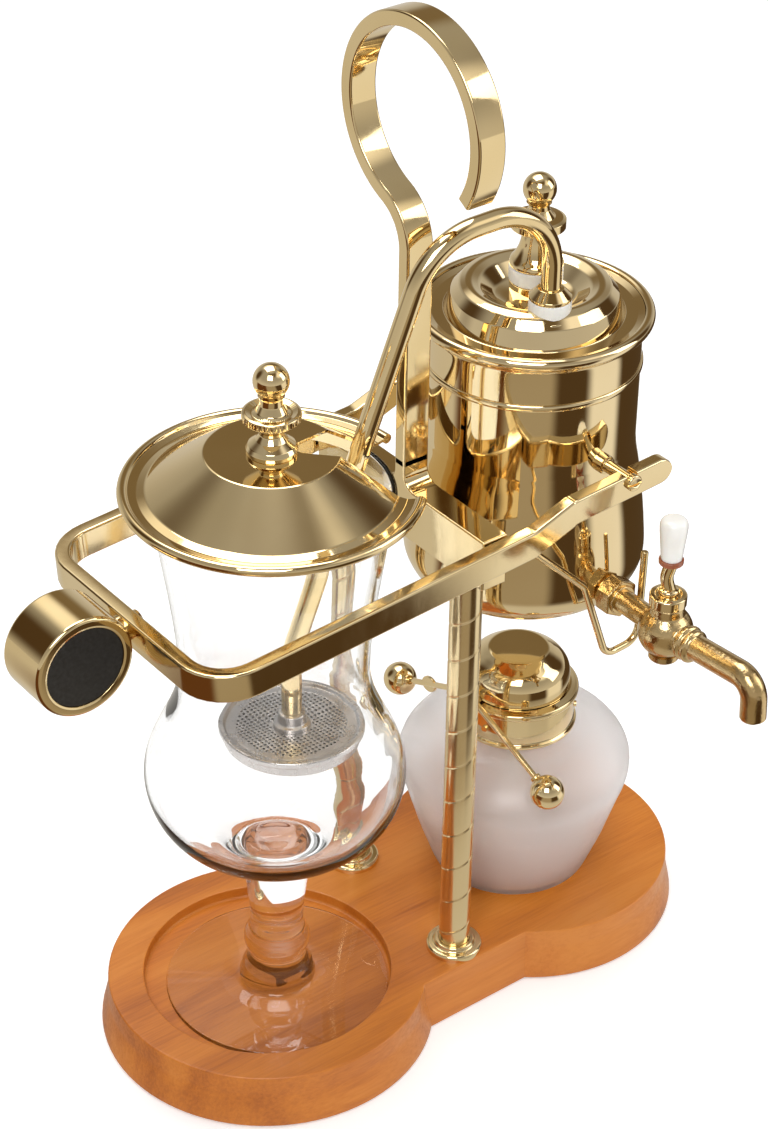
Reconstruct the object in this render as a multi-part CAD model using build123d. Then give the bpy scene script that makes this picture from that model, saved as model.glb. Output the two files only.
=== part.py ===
"""Balance siphon coffee maker: glass vessel, boiler on a tilting beam, spirit burner, wooden base.

Millimetres, +Z up, +X towards the boiler, -Y towards the tap.  The origin is on the underside of the
base felt, midway between the glass recess and the centre of the layout.  Everything that rides on the
beam is drawn with the beam level and then turned by BEAM_REST about the pivot.
"""
from math import cos, hypot, radians, sin, tan
import os

from build123d import *

os.makedirs("parts", exist_ok=True)

# ---------------------------------------------------------------- base
FELT_T = 1.0
BASE_T = 23.0
BASE_TOP = FELT_T + BASE_T
LEFT_X, LEFT_TOP_R, LEFT_FOOT_R = -65.0, 66.0, 69.3
RIGHT_X, RIGHT_TOP_R, RIGHT_FOOT_R = 74.0, 61.8, 64.8
WAIST_HALF = 47.6
WAIST_FLARE = 2.6
RECESS_R, RECESS_DEPTH = 51.2, 5.0
RECESS_Z = BASE_TOP - RECESS_DEPTH

# ---------------------------------------------------------------- stand
COL_X, COL_Y, COL_R = 5.5, 35.5, 6.4
COLLAR_R, COLLAR_H = 11.7, 4.5
CROSS_Z0, CROSS_Z1 = 214.0, 236.0
CROSS_HALF = 51.6
STRAP_W, STRAP_T = 12.0, 6.0
STEM_TOP = 335.5
HOOK_R, HOOK_BACK_R, HOOK_LEAN = 37.2, 20.0, 112.1
HOOK_TIP_DEG = 212.0

# ---------------------------------------------------------------- beam
PIVOT_X, PIVOT_Z = COL_X, 230.0
PIVOT_R, PIVOT_CLEAR = 3.0, 0.05
BEAM_REST = 3.5
BAR_H, BAR_T = 12.0, 6.0
RING_X0, RING_W, RING_R = -128.5, 58.6, 20.0
ARM_RISE, ARM_END, ARM_H = 5.2, 88.0, 11.0
ARM_JOG_X0, ARM_JOG_X1 = 20.0, 40.0
WEIGHT_R, WEIGHT_L, WEIGHT_X = 20.3, 24.0, -151.0
MEDAL_R = 16.2

# ---------------------------------------------------------------- boiler, placed by its trunnion axis
BOIL_X, BOIL_Y, BOIL_Z = 67.0, 3.0, 241.7
BOIL_R, FULL_R, BOIL_WALL = 42.6, 49.0, 1.2
BOIL_BOTTOM = BOIL_Z - 70.7
RIM_Z, RIM_R, RIM_ROLL = BOIL_Z + 48.2, 44.6, 2.4
BEAD_Z = BOIL_Z + 28.0
CREST_R, CREST_Z = 25.8, BOIL_Z + 60.8
TRUN_R, TRUN_END = 2.6, 64.0
SOCKET_DX, SOCKET_Y = -9.4, -19.6
SEAL_Z = BOIL_Z + 57.1
FILL_Z = BOIL_Z + 61.4
TUBE_R, TUBE_BORE = 4.0, 2.7
ARCH_Z, ARCH_R = BOIL_Z + 105.7, (35.0, 30.0, 30.0)
ARCH_SPAN, ARCH_DROP, ARCH_FALL = 55.3, 2.9, 69.2
TUBE_BELOW = 4.0

# ---------------------------------------------------------------- tap
TAP_X = BOIL_X + 3.4
TAP_Z = BOIL_Z - 58.6
TAP_Y = -82.5
TAP_PIPE_R, TAP_BALL_R, TAP_BORE = 4.8, 11.0, 2.6
SPOUT_R, SPOUT_END_Y, SPOUT_RISE = 5.2, -132.0, 4.2
WIRE_R = 1.5

# ---------------------------------------------------------------- glass vessel and lid
GLASS_X, GLASS_Y, GLASS_T = -63.2, -4.5, 2.2
GLASS_TOP = 259.5
FOOT_R = 46.0
LID_Z = GLASS_TOP + 0.1
LID_RIM_R, LID_ROLL, LID_T = 55.2, 2.0, 1.2
PLATE_R, PLATE_Z = 25.3, 276.0
NOTCH_X, NOTCH_Y, NOTCH_R = 12.2, -5.2, 4.6
NOTCH_DEG = (4.0, -46.0)

# ---------------------------------------------------------------- filter
FILT_X, FILT_Y, FILT_R = -58.0, -8.5, 28.6
FILT_TOP, FILT_H = 154.0, 7.0

# ---------------------------------------------------------------- burner
BURN_X = 65.0
BELLY_R, BELLY_Z = 49.5, 75.4
COLLAR_Z0, COLLAR_Z1, COLLAR_RAD = 96.5, 115.0, 24.4
DOME_R, DOME_TOP, DOME_FLAT = 22.2, 132.0, 11.5
HINGE_X, HINGE_Z = 38.4, 117.6
BALL_R, BALL_X, BALL_Y, BALL_Z = 7.2, 41.0, 49.0, 97.0
ROD_R, HINGE_RUN = 1.3, 1.14

BEAM_AXIS = Axis((PIVOT_X, 0, PIVOT_Z), (0, 1, 0))


def on_beam(shape):
    """Turn a piece drawn with the beam level to where it is at rest."""
    return shape.rotate(BEAM_AXIS, -BEAM_REST)


def level_point(x, z):
    """Where a point (x, z) at rest lies in the drawing of the level beam."""
    dx, dz, turn = x - PIVOT_X, z - PIVOT_Z, radians(BEAM_REST)
    return PIVOT_X + dx * cos(turn) + dz * sin(turn), PIVOT_Z - dx * sin(turn) + dz * cos(turn)


def hang(shape):
    """Shift a boiler piece, drawn about y = 0, to where the boiler hangs plumb between the arms."""
    return Pos(0, BOIL_Y, 0) * shape


def save(name, shape):
    """Write one node."""
    export_step(shape, f"parts/{name}.step")
    print(name, round(shape.volume, 1))


def spin(points, x, y, smooth=()):
    """Solid of revolution about a vertical axis.

    Each pair in smooth names a span of points joined by one curve: an arc for three points, else a spline.
    """
    edges = []
    index = 0
    last = len(points) - 1
    while index < last:
        run = next((pair for pair in smooth if pair[0] == index), None)
        if run:
            curve = ThreePointArc if run[1] - run[0] == 2 else Spline
            edges.append(curve(*points[run[0]:run[1] + 1]))
            index = run[1]
        else:
            edges.append(Line(points[index], points[index + 1]))
            index += 1
    edges.append(Line(points[last], points[0]))
    face = make_face(Plane.XZ * Curve(edges))
    return revolve(face, Axis.Z).moved(Location((x, y, 0)))


def disc(x, y, z0, z1, r):
    """Vertical cylinder between two heights."""
    return Pos(x, y, (z0 + z1) / 2) * Cylinder(r, z1 - z0)


def ring(x, y, z0, z1, r_out, r_in):
    """Vertical tube between two heights."""
    return disc(x, y, z0, z1, r_out) - disc(x, y, z0 - 1, z1 + 1, r_in)


def torus(x, y, z, r, minor):
    """Horizontal torus."""
    return Pos(x, y, z) * Torus(r, minor)


def rod(a, b, r):
    """Round bar from point a to point b."""
    line = Line(a, b)
    return sweep(Plane(origin=a, z_dir=Vector(*b) - Vector(*a)) * Circle(r), path=line)


def along_y(x, z, y0, y1, r):
    """Cylinder lying along Y."""
    return Pos(x, (y0 + y1) / 2, z) * Rot(90, 0, 0) * Cylinder(r, abs(y1 - y0))


def block(x0, x1, y0, y1, z0, z1):
    """Box given by its limits."""
    return Pos((x0 + x1) / 2, (y0 + y1) / 2, (z0 + z1) / 2) * Box(x1 - x0, y1 - y0, z1 - z0)


# ================================================================ base and stand
def footprint(z0, z1, r_left0, r_left1, r_right0, r_right1, waist0, waist1):
    """Bean shape: two lobes joined by a straight waist, every side sloped."""
    height = z1 - z0
    middle = (z0 + z1) / 2
    left = Pos(LEFT_X, 0, middle) * Cone(r_left0, r_left1, height)
    right = Pos(RIGHT_X, 0, middle) * Cone(r_right0, r_right1, height)
    span = RIGHT_X - LEFT_X
    centre = (RIGHT_X + LEFT_X) / 2
    low = Pos(centre, 0, z0) * Rectangle(span, 2 * waist0)
    high = Pos(centre, 0, z1) * Rectangle(span, 2 * waist1)
    return left + right + loft([low, high])


def wood_base():
    """Wooden base with the recess for the glass foot and the column screw holes."""
    body = footprint(FELT_T, BASE_TOP, LEFT_FOOT_R, LEFT_TOP_R, RIGHT_FOOT_R, RIGHT_TOP_R,
                     WAIST_HALF + WAIST_FLARE, WAIST_HALF)
    body -= disc(LEFT_X, 0, RECESS_Z, BASE_TOP + 1, RECESS_R)
    for side in (-1, 1):
        body -= disc(COL_X, side * COL_Y, 0, BASE_TOP + 1, 2.7)
        body -= disc(COL_X, side * COL_Y, 0, 6.0, 5.2)
    return body


def base_felt():
    """Felt sheet under the base, open at the two screw heads."""
    inset = 2.0
    sheet = Pos(LEFT_X, 0) * Circle(LEFT_FOOT_R - inset) + Pos(RIGHT_X, 0) * Circle(RIGHT_FOOT_R - inset)
    sheet += Pos((LEFT_X + RIGHT_X) / 2, 0) * Rectangle(RIGHT_X - LEFT_X, 2 * WAIST_HALF)
    felt = extrude(sheet, FELT_T)
    for side in (-1, 1):
        felt -= disc(COL_X, side * COL_Y, -1, FELT_T + 1, 5.2)
    return felt


def base_screws():
    """Two cap screws that hold the columns down from beneath."""
    screws = []
    for side in (-1, 1):
        y = side * COL_Y
        screws.append(disc(COL_X, y, 2.0, 6.0, 4.6) + disc(COL_X, y, 6.0, BASE_TOP + 10, 2.5))
    return Compound(screws)


def column(side):
    """Round column with a tapped foot and a spigot for the crossbar."""
    y = side * COL_Y
    body = disc(COL_X, y, BASE_TOP, CROSS_Z0, COL_R) + disc(COL_X, y, CROSS_Z0, CROSS_Z0 + 6, 4.0)
    return body - disc(COL_X, y, BASE_TOP - 1, BASE_TOP + 12, 2.5)


def column_collar(side):
    """Rounded flange round a column foot."""
    y = side * COL_Y
    z = BASE_TOP
    points = [(COL_R + 0.05, z), (COLLAR_R - 0.6, z), (COLLAR_R, z + 1.6), (COLLAR_R - 1.2, z + 3.4),
              (COLLAR_R - 3.0, z + COLLAR_H - 0.6), (COL_R + 1.4, z + COLLAR_H),
              (COL_R + 0.05, z + COLLAR_H)]
    return spin(points, COL_X, y, smooth=((1, 4),))


def carry_handle():
    """Crossbar, stem and open hook in one flat strap."""
    plane = Plane(origin=(COL_X, 0, 0), x_dir=(0, 1, 0), z_dir=(1, 0, 0))
    half = STRAP_T / 2
    web = 12.0
    cross = (Pos(0, (CROSS_Z0 + CROSS_Z1) / 2) * Rectangle(2 * CROSS_HALF, CROSS_Z1 - CROSS_Z0)
             + Pos(0, (CROSS_Z1 + STEM_TOP) / 2) * Rectangle(STRAP_T, STEM_TOP - CROSS_Z1))
    for side in (-1, 1):
        corner = Pos(side * (half + web / 2), CROSS_Z1 + web / 2) * Rectangle(web, web)
        cross += corner - Pos(side * (half + web), CROSS_Z1 + web) * Circle(web)
    lean = radians(HOOK_LEAN)
    reach = HOOK_R + HOOK_BACK_R
    back = (HOOK_BACK_R, STEM_TOP)
    middle = (back[0] + reach * cos(lean), back[1] + reach * sin(lean))
    start = HOOK_LEAN - 180
    bends = [CenterArc(back, HOOK_BACK_R, 180, HOOK_LEAN - 180),
             CenterArc(middle, HOOK_R, start, HOOK_TIP_DEG - start)]
    hook = None
    for bend in bends:
        line = plane * bend
        section = Plane(origin=line @ 0, x_dir=(1, 0, 0), z_dir=line % 0)
        strip = sweep(section * Rectangle(STRAP_W, STRAP_T), path=line)
        hook = strip if hook is None else hook + strip
    body = extrude(plane * cross, STRAP_W / 2, both=True) + hook
    for side in (-1, 1):
        body -= disc(COL_X, side * COL_Y, CROSS_Z0 - 1, CROSS_Z0 + 6.5, 4.0)
        body -= along_y(PIVOT_X, PIVOT_Z, side * (CROSS_HALF - 14), side * (CROSS_HALF + 1), PIVOT_R)
    return body


def pivot_pins():
    """Two pins pressed into the crossbar ends, on which the beam turns."""
    pins = [along_y(PIVOT_X, PIVOT_Z, side * (CROSS_HALF - 14), side * (RING_W - 1.9), PIVOT_R)
            for side in (-1, 1)]
    return Compound(pins)


# ================================================================ beam
def arm(side):
    """Forked arm past the crossbar: an upward jog, then a level arm with the trunnion notch."""
    z0, z1 = PIVOT_Z - BAR_H / 2, PIVOT_Z + BAR_H / 2
    low, high = z0 + ARM_RISE + 1.0, z1 + ARM_RISE
    tip = ARM_H / 2
    outline = Polyline((COL_X, z0), (ARM_JOG_X0, z0), (ARM_JOG_X1, low), (ARM_END - tip, low))
    nose = ThreePointArc((ARM_END - tip, low), (ARM_END, (low + high) / 2), (ARM_END - tip, high))
    back = Polyline((ARM_END - tip, high), (ARM_JOG_X1, high), (ARM_JOG_X0, z1), (COL_X, z1), (COL_X, z0))
    face = make_face(Plane.XZ * Curve([*outline.edges(), nose, *back.edges()]))
    y = side * (RING_W - BAR_T / 2)
    body = Pos(0, y, 0) * extrude(face, BAR_T / 2, both=True)
    notch = TRUN_R + 0.06
    notch_x, notch_z = level_point(BOIL_X, BOIL_Z)
    body -= along_y(notch_x, notch_z, y - BAR_T, y + BAR_T, notch)
    return body - block(notch_x - notch, notch_x + notch, y - BAR_T, y + BAR_T, notch_z, notch_z + 9)


def beam_ring():
    """Flat bar bent round the glass, carrying the arms, with blind bearings for the pivot pins."""
    z0, z1 = PIVOT_Z - BAR_H / 2, PIVOT_Z + BAR_H / 2
    width = COL_X - RING_X0
    outer = Pos((COL_X + RING_X0) / 2, 0) * Rectangle(width, 2 * RING_W)
    inner = Pos((COL_X + RING_X0) / 2 + BAR_T, 0) * Rectangle(width, 2 * (RING_W - BAR_T))
    outer = fillet(outer.vertices().sort_by(Axis.X)[:2], RING_R)
    inner = fillet(inner.vertices().sort_by(Axis.X)[:2], RING_R - BAR_T)
    body = Pos(0, 0, z0) * extrude(outer - inner, BAR_H)
    for side in (-1, 1):
        body += arm(side)
    bore = PIVOT_R + PIVOT_CLEAR
    for side in (-1, 1):
        body -= along_y(PIVOT_X, PIVOT_Z, side * (RING_W - BAR_T - 1), side * (RING_W - 1.8), bore)
    body -= Pos(RING_X0, 0, PIVOT_Z) * Rot(0, 90, 0) * Cylinder(2.5, 20)
    return on_beam(body - rod(*wire_route()[:2], WIRE_R))


def counterweight():
    """Solid drum across the beam, with a sunk seat for the medallion and a tapped hole."""
    body = along_y(WEIGHT_X, PIVOT_Z, -WEIGHT_L / 2, WEIGHT_L / 2, WEIGHT_R)
    body = fillet(body.edges().filter_by(GeomType.CIRCLE), 2.4)
    body -= along_y(WEIGHT_X, PIVOT_Z, -WEIGHT_L / 2 - 1, -WEIGHT_L / 2 + 1.6, MEDAL_R)
    body -= Pos(WEIGHT_X + WEIGHT_R, 0, PIVOT_Z) * Rot(0, 90, 0) * Cylinder(2.5, 20)
    return on_beam(body)


def medallion():
    """Plain dark disc in the counterweight's face."""
    return on_beam(along_y(WEIGHT_X, PIVOT_Z, -WEIGHT_L / 2 + 0.5, -WEIGHT_L / 2 + 1.6, MEDAL_R))


def weight_screw():
    """Screw from inside the ring, through a spacer boss, into the counterweight."""
    inside = RING_X0 + BAR_T
    edge = WEIGHT_X + WEIGHT_R
    turn = Rot(0, 90, 0)
    shank = Pos((inside + edge - 10) / 2, 0, PIVOT_Z) * turn * Cylinder(2.5, inside - edge + 10)
    head = Pos(inside + 0.9, 0, PIVOT_Z) * turn * Cylinder(4.2, 1.8)
    return on_beam(shank + head)


def weight_spacer():
    """Short boss between ring and counterweight, hollowed to the drum's curve."""
    boss = Pos((RING_X0 + WEIGHT_X) / 2, 0, PIVOT_Z) * Rot(0, 90, 0) * Cylinder(5.5, RING_X0 - WEIGHT_X)
    boss -= along_y(WEIGHT_X, PIVOT_Z, -20, 20, WEIGHT_R)
    return on_beam(boss - Pos(RING_X0, 0, PIVOT_Z) * Rot(0, 90, 0) * Cylinder(2.5, 60))


def wire_route():
    """Corners of the wire in the plane of the front arm: down the side, under the tap pipe, up again."""
    y = -RING_W + BAR_T / 2
    return [(19.0, y, 227.0), (46.3, y, 196.5), (57.5, y, 157.5), (74.3, y, 157.5), (77.6, y, 199.0)]


def tap_cradle_wire():
    """Bent wire let into the front arm, loosely round the tap pipe to steady the boiler."""
    points = wire_route()
    path = FilletPolyline(*points, radius=7.0)
    return on_beam(sweep(Plane(origin=points[0], z_dir=path % 0) * Circle(WIRE_R), path=path))


# ================================================================ boiler
def boiler_body():
    """Spun pot with a full, rounded foot, one bead and a flared, rolled rim."""
    x, z, wall, full = BOIL_X, BOIL_BOTTOM, BOIL_WALL, FULL_R
    outer = [(0, z), (full - 13, z), (full - 3.6, z + 4.4), (full, z + 14.5), (full - 0.5, z + 23),
             (full - 1.9, z + 36), (full - 4.0, z + 50), (BOIL_R + 0.6, z + 60), (BOIL_R, z + 66),
             (BOIL_R, BEAD_Z - 1.5), (BOIL_R + 0.9, BEAD_Z), (BOIL_R, BEAD_Z + 1.5)]
    smooth = [(1, 3), (3, 8), (9, 11)]
    start = len(outer) + 1
    outer += [(BOIL_R, RIM_Z - 4.6), (RIM_R, RIM_Z - RIM_ROLL), (RIM_R + RIM_ROLL, RIM_Z),
              (RIM_R, RIM_Z + RIM_ROLL),
              (RIM_R - 1.6, RIM_Z + 1.5), (RIM_R - 1.6, RIM_Z - 1.2)]
    smooth.append((start, start + 2))
    start = len(outer) + 2
    inner = [(BOIL_R - 2.4, RIM_Z - 1.2), (BOIL_R - wall, RIM_Z - 6), (BOIL_R - wall, z + 66),
             (BOIL_R + 0.6 - wall, z + 60), (full - 4.0 - wall, z + 50), (full - 1.9 - wall, z + 36),
             (full - 0.5 - wall, z + 23), (full - wall, z + 14.5), (full - 4.4, z + 5.4),
             (full - 13, z + wall), (0, z + wall)]
    smooth += [(start, start + 5), (start + 5, start + 7)]
    body = spin(outer + inner, x, 0, smooth=smooth)
    for side in (-1, 1):
        body -= along_y(x, BOIL_Z, side * (BOIL_R - 4), side * (BOIL_R + 4), 2.0)
    body -= along_y(TAP_X, TAP_Z, -full + 4, -full - 4, TAP_BORE)
    return hang(body)


def lid_sheet():
    """Boiler lid: flat margin, raised ring and sunk middle, as one spun sheet."""
    x, t = BOIL_X, BOIL_WALL
    edge = RIM_R - 1.65
    top = [(edge, RIM_Z + 0.9), (36.0, RIM_Z + 0.1), (34.6, RIM_Z + 0.7), (32.4, RIM_Z + 8.0),
           (29.0, RIM_Z + 11.6),
           (CREST_R, CREST_Z), (21.5, RIM_Z + 11.0), (16.0, RIM_Z + 6.2), (11.8, RIM_Z + 4.4),
           (7.4, RIM_Z + 4.2)]
    under = [(7.4, RIM_Z + 4.2 - t), (12.2, RIM_Z + 4.4 - t), (16.9, RIM_Z + 6.2 - t),
             (21.9, RIM_Z + 9.6),
             (CREST_R, CREST_Z - t), (28.2, RIM_Z + 10.5), (31.3, RIM_Z + 7.4), (33.4, RIM_Z + 0.4),
             (35.6, RIM_Z - 1.1),
             (edge, RIM_Z - 1.15)]
    return spin(top + under, x, 0, smooth=((2, 8), (11, 17)))


def boiler_lid():
    """Lid sheet with the tube seat and the filler neck."""
    sx = BOIL_X + SOCKET_DX
    seat_r = 10.0
    body = lid_sheet() - disc(sx, SOCKET_Y, RIM_Z - 3, CREST_Z + 9, seat_r - 0.1)
    seat = spin([(TUBE_R, RIM_Z + 0.6), (seat_r, RIM_Z + 0.6), (seat_r, SEAL_Z - 0.2),
                 (seat_r - 0.7, SEAL_Z + 0.6),
                 (8.9, SEAL_Z + 0.6), (8.9, SEAL_Z), (TUBE_R, SEAL_Z)], sx, SOCKET_Y)
    neck = ring(BOIL_X, 0, RIM_Z + 3.2, FILL_Z, 10.3, 7.4)
    return hang(body + seat + neck)


def tube_gasket():
    """White sleeve gasket under the tube nut."""
    return hang(ring(BOIL_X + SOCKET_DX, SOCKET_Y, SEAL_Z, SEAL_Z + 7.2, 8.3, TUBE_R))


def tube_nut():
    """Coned cap nut that clamps the siphon tube."""
    z = SEAL_Z + 7.2
    points = [(TUBE_R, z), (8.3, z), (8.3, z + 0.9), (5.0, z + 4.4), (TUBE_R, z + 4.6)]
    return hang(spin(points, BOIL_X + SOCKET_DX, SOCKET_Y))


def filler_gasket():
    """White ring between filler neck and filler knob."""
    return hang(ring(BOIL_X, 0, FILL_Z, FILL_Z + 6.3, 10.7, 7.4))


def filler_knob():
    """Turned knob with a plug, a bell, a knurled disc and a ball."""
    z = FILL_Z + 6.3
    points = [(0, z - 12), (7.33, z - 12), (7.33, z), (10.7, z), (10.3, z + 2.0), (7.2, z + 7.5),
              (5.4, z + 12.5),
              (5.0, z + 14.5), (9.0, z + 15.6), (10.8, z + 16.6), (10.8, z + 19.6), (8.8, z + 19.9),
              (6.2, z + 20.6),
              (4.4, z + 23.4), (4.0, z + 25.6), (4.3, z + 26.4), (0, z + 26.4)]
    body = spin(points, BOIL_X, 0, smooth=((3, 7), (11, 15)))
    return hang(body + Pos(BOIL_X, 0, z + 31.2) * Sphere(6.5))


def trunnion(side):
    """Bearing pin screwed into the boiler wall, with a turned shoulder and a slotted end."""
    x, z = BOIL_X, BOIL_Z
    inner = side * (BOIL_R + 0.02)
    body = along_y(x, z, side * (BOIL_R - 3.5), inner, 2.0)
    body += along_y(x, z, side * (BOIL_R - 0.1), side * (BOIL_R + 4.4), 3.9)
    body -= Pos(x, 0, 0) * disc(0, 0, 0, BOIL_Z + 40, BOIL_R) - along_y(x, z, -80, 80, 2.0)
    body += along_y(x, z, side * (BOIL_R + 4.0), side * TRUN_END, TRUN_R)
    return hang(body)


# ================================================================ tap
def tap_nut():
    """Hexagon nut between boiler and tap pipe."""
    face = Plane(origin=(TAP_X, -FULL_R - 0.6, TAP_Z), x_dir=(1, 0, 0), z_dir=(0, -1, 0))
    body = extrude(face * RegularPolygon(8.6, 6), 7.2)
    body += along_y(TAP_X, TAP_Z, -FULL_R + 0.9, -FULL_R - 1.0, 6.6)
    body -= disc(BOIL_X, 0, BOIL_BOTTOM - 5, BOIL_Z, FULL_R + 0.02)
    return hang(body - along_y(TAP_X, TAP_Z, -30, -70, TAP_PIPE_R))


def spout_path():
    """Centre line of the spout: out, slightly up, then down."""
    y0 = TAP_Y - TAP_BALL_R + 2
    return FilletPolyline((TAP_X, y0, TAP_Z), (TAP_X, SPOUT_END_Y, TAP_Z + SPOUT_RISE),
                          (TAP_X, SPOUT_END_Y - 1.0, TAP_Z - 12.5), radius=9.0)


def tap_body():
    """Cast body: inlet pipe, round plug housing, collars and downturned spout, bored through."""
    x = TAP_X
    path = spout_path()
    start = Plane(origin=path @ 0, z_dir=path % 0)
    body = along_y(x, TAP_Z, -FULL_R - 0.6, TAP_Y, TAP_PIPE_R)
    body += Pos(x, TAP_Y, TAP_Z) * Sphere(TAP_BALL_R)
    body += sweep(start * Circle(SPOUT_R), path=path)
    body += disc(x, TAP_Y, TAP_Z, TAP_Z + 12.6, 6.9)
    for y, r in ((TAP_Y - 12.5, 7.3), (TAP_Y - 15.7, 6.9)):
        body += Pos(x, y, TAP_Z + 0.4) * Rot(90, 0, 0) * Torus(r - 1.5, 1.5)
        body += along_y(x, TAP_Z + 0.4, y - 1.0, y + 1.0, r - 1.5)
    body -= sweep(start * Circle(SPOUT_R - 2.2), path=path)
    body -= along_y(x, TAP_Z, -FULL_R + 1, TAP_Y - TAP_BALL_R, TAP_BORE)
    body -= disc(x, TAP_Y, TAP_Z - 9.0, TAP_Z + 14, 4.55)
    return hang(body - disc(x, TAP_Y, TAP_Z - 13, TAP_Z - 8.5, 2.6))


def tap_cap():
    """Screwed ring that keeps the plug down."""
    points = [(3.16, TAP_Z + 12.6), (7.3, TAP_Z + 12.6), (7.5, TAP_Z + 13.4), (7.5, TAP_Z + 16.6),
              (6.9, TAP_Z + 17.4),
              (5.6, TAP_Z + 17.4), (5.0, TAP_Z + 16.2), (3.16, TAP_Z + 16.0)]
    return hang(spin(points, TAP_X, TAP_Y))


def tap_bottom_nut():
    """Nut under the plug housing."""
    body = disc(TAP_X, TAP_Y, TAP_Z - 13.6, TAP_Z - 10.2, 6.0)
    body -= Pos(TAP_X, TAP_Y, TAP_Z) * Sphere(TAP_BALL_R)
    return hang(body + disc(TAP_X, TAP_Y, TAP_Z - 13.0, TAP_Z - 9.6, 2.6))


def tap_plug():
    """Cross-bored plug with its stem; the bore lies across the pipe while the tap is shut."""
    body = disc(TAP_X, TAP_Y, TAP_Z - 8.6, TAP_Z + 12.3, 4.5)
    body -= Pos(TAP_X, TAP_Y, TAP_Z) * Rot(0, 90, 0) * Cylinder(TAP_BORE, 20)
    body += disc(TAP_X, TAP_Y, TAP_Z + 12.0, TAP_Z + 18.0, 3.1)
    body += torus(TAP_X, TAP_Y, TAP_Z + 18.2, 2.6, 1.5)
    body += disc(TAP_X, TAP_Y, TAP_Z + 17, TAP_Z + 21, 2.2)
    return hang(body + disc(TAP_X, TAP_Y, TAP_Z + 20.0, TAP_Z + 38.0, 2.2))


def tap_ferrule():
    """Brown collar under the tap grip."""
    z = TAP_Z + 31.2
    points = [(2.2, z), (4.6, z), (4.9, z + 0.8), (4.7, z + 2.4), (2.2, z + 2.4)]
    return hang(spin(points, TAP_X, TAP_Y))


def tap_grip():
    """White tapered grip on the plug stem."""
    z = TAP_Z + 33.6
    points = [(0, z + 4.4), (2.2, z + 4.4), (2.2, z), (4.1, z), (5.5, z + 13.5), (4.9, z + 16.4),
              (2.6, z + 17.8), (0, z + 18)]
    return hang(spin(points, TAP_X, TAP_Y, smooth=((4, 7),)))


# ================================================================ siphon tube and filter
def tube_rod(radius):
    """Solid along the tube: up out of the boiler, over the crossbar, down a long slope, into the glass."""
    start_x, start_y = BOIL_X + SOCKET_DX, BOIL_Y + SOCKET_Y
    across, run = FILT_Y - start_y, start_x - FILT_X
    stretch = hypot(run, across) / run
    plane = Plane(origin=(start_x, start_y, 0), x_dir=(-run, across, 0), z_dir=(across, run, 0))
    knee_z = ARCH_Z - ARCH_DROP - (run - ARCH_SPAN) * tan(radians(ARCH_FALL))
    corners = [(0, BOIL_BOTTOM + 8.0), (0, ARCH_Z), (ARCH_SPAN, ARCH_Z - ARCH_DROP), (run, knee_z),
               (run, FILT_TOP - TUBE_BELOW)]
    path = plane * FilletPolyline(*[(x * stretch, z) for x, z in corners], radius=ARCH_R)
    return sweep(Plane(origin=path @ 0, z_dir=path % 0) * Circle(radius), path=path)


def siphon_tube():
    """Siphon tube, open from end to end."""
    return tube_rod(TUBE_R) - tube_rod(TUBE_BORE)


def filter_hub():
    """Boss that joins the tube end to the filter plate."""
    z = FILT_TOP
    points = [(2, z - 1.2), (7.2, z - 1.2), (7.2, z + 1.0), (5.4, z + 3.2), (5.4, z + 5.6), (2, z + 5.6)]
    return spin(points, FILT_X, FILT_Y) - tube_rod(TUBE_R)


def filter_drum():
    """Rim of the filter: a shallow drum with a rolled top edge, open beneath."""
    z, r = FILT_TOP, FILT_R
    points = [(r - 4.6, z - 1.2), (r - 3.2, z - 1.2), (r - 2.4, z), (r - 0.8, z), (r, z - 0.9),
              (r, z - 2.2), (r - 0.9, z - 3.0),
              (r - 1.6, z - FILT_H), (r - 2.8, z - FILT_H), (r - 2.6, z - 3.0), (r - 4.6, z - 2.2)]
    return spin(points, FILT_X, FILT_Y)


def filter_plate():
    """Perforated plate across the drum."""
    plate = disc(FILT_X, FILT_Y, FILT_TOP - 2.0, FILT_TOP - 1.2, FILT_R - 4.6) - tube_rod(TUBE_R)
    holes = [Pos(FILT_X, FILT_Y, FILT_TOP - 1.6) * Rot(0, 0, 360 * k / count) * Pos(r, 0,
                                                                                    0) * Cylinder(0.8, 2)
             for r, count in ((11.0, 12), (15.0, 18), (19.0, 24)) for k in range(count)]
    return plate - holes


def filter_cloth():
    """Cloth disc tied under the filter plate."""
    return disc(FILT_X, FILT_Y, FILT_TOP - FILT_H + 0.2, FILT_TOP - FILT_H + 1.4, FILT_R - 2.9)


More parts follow.
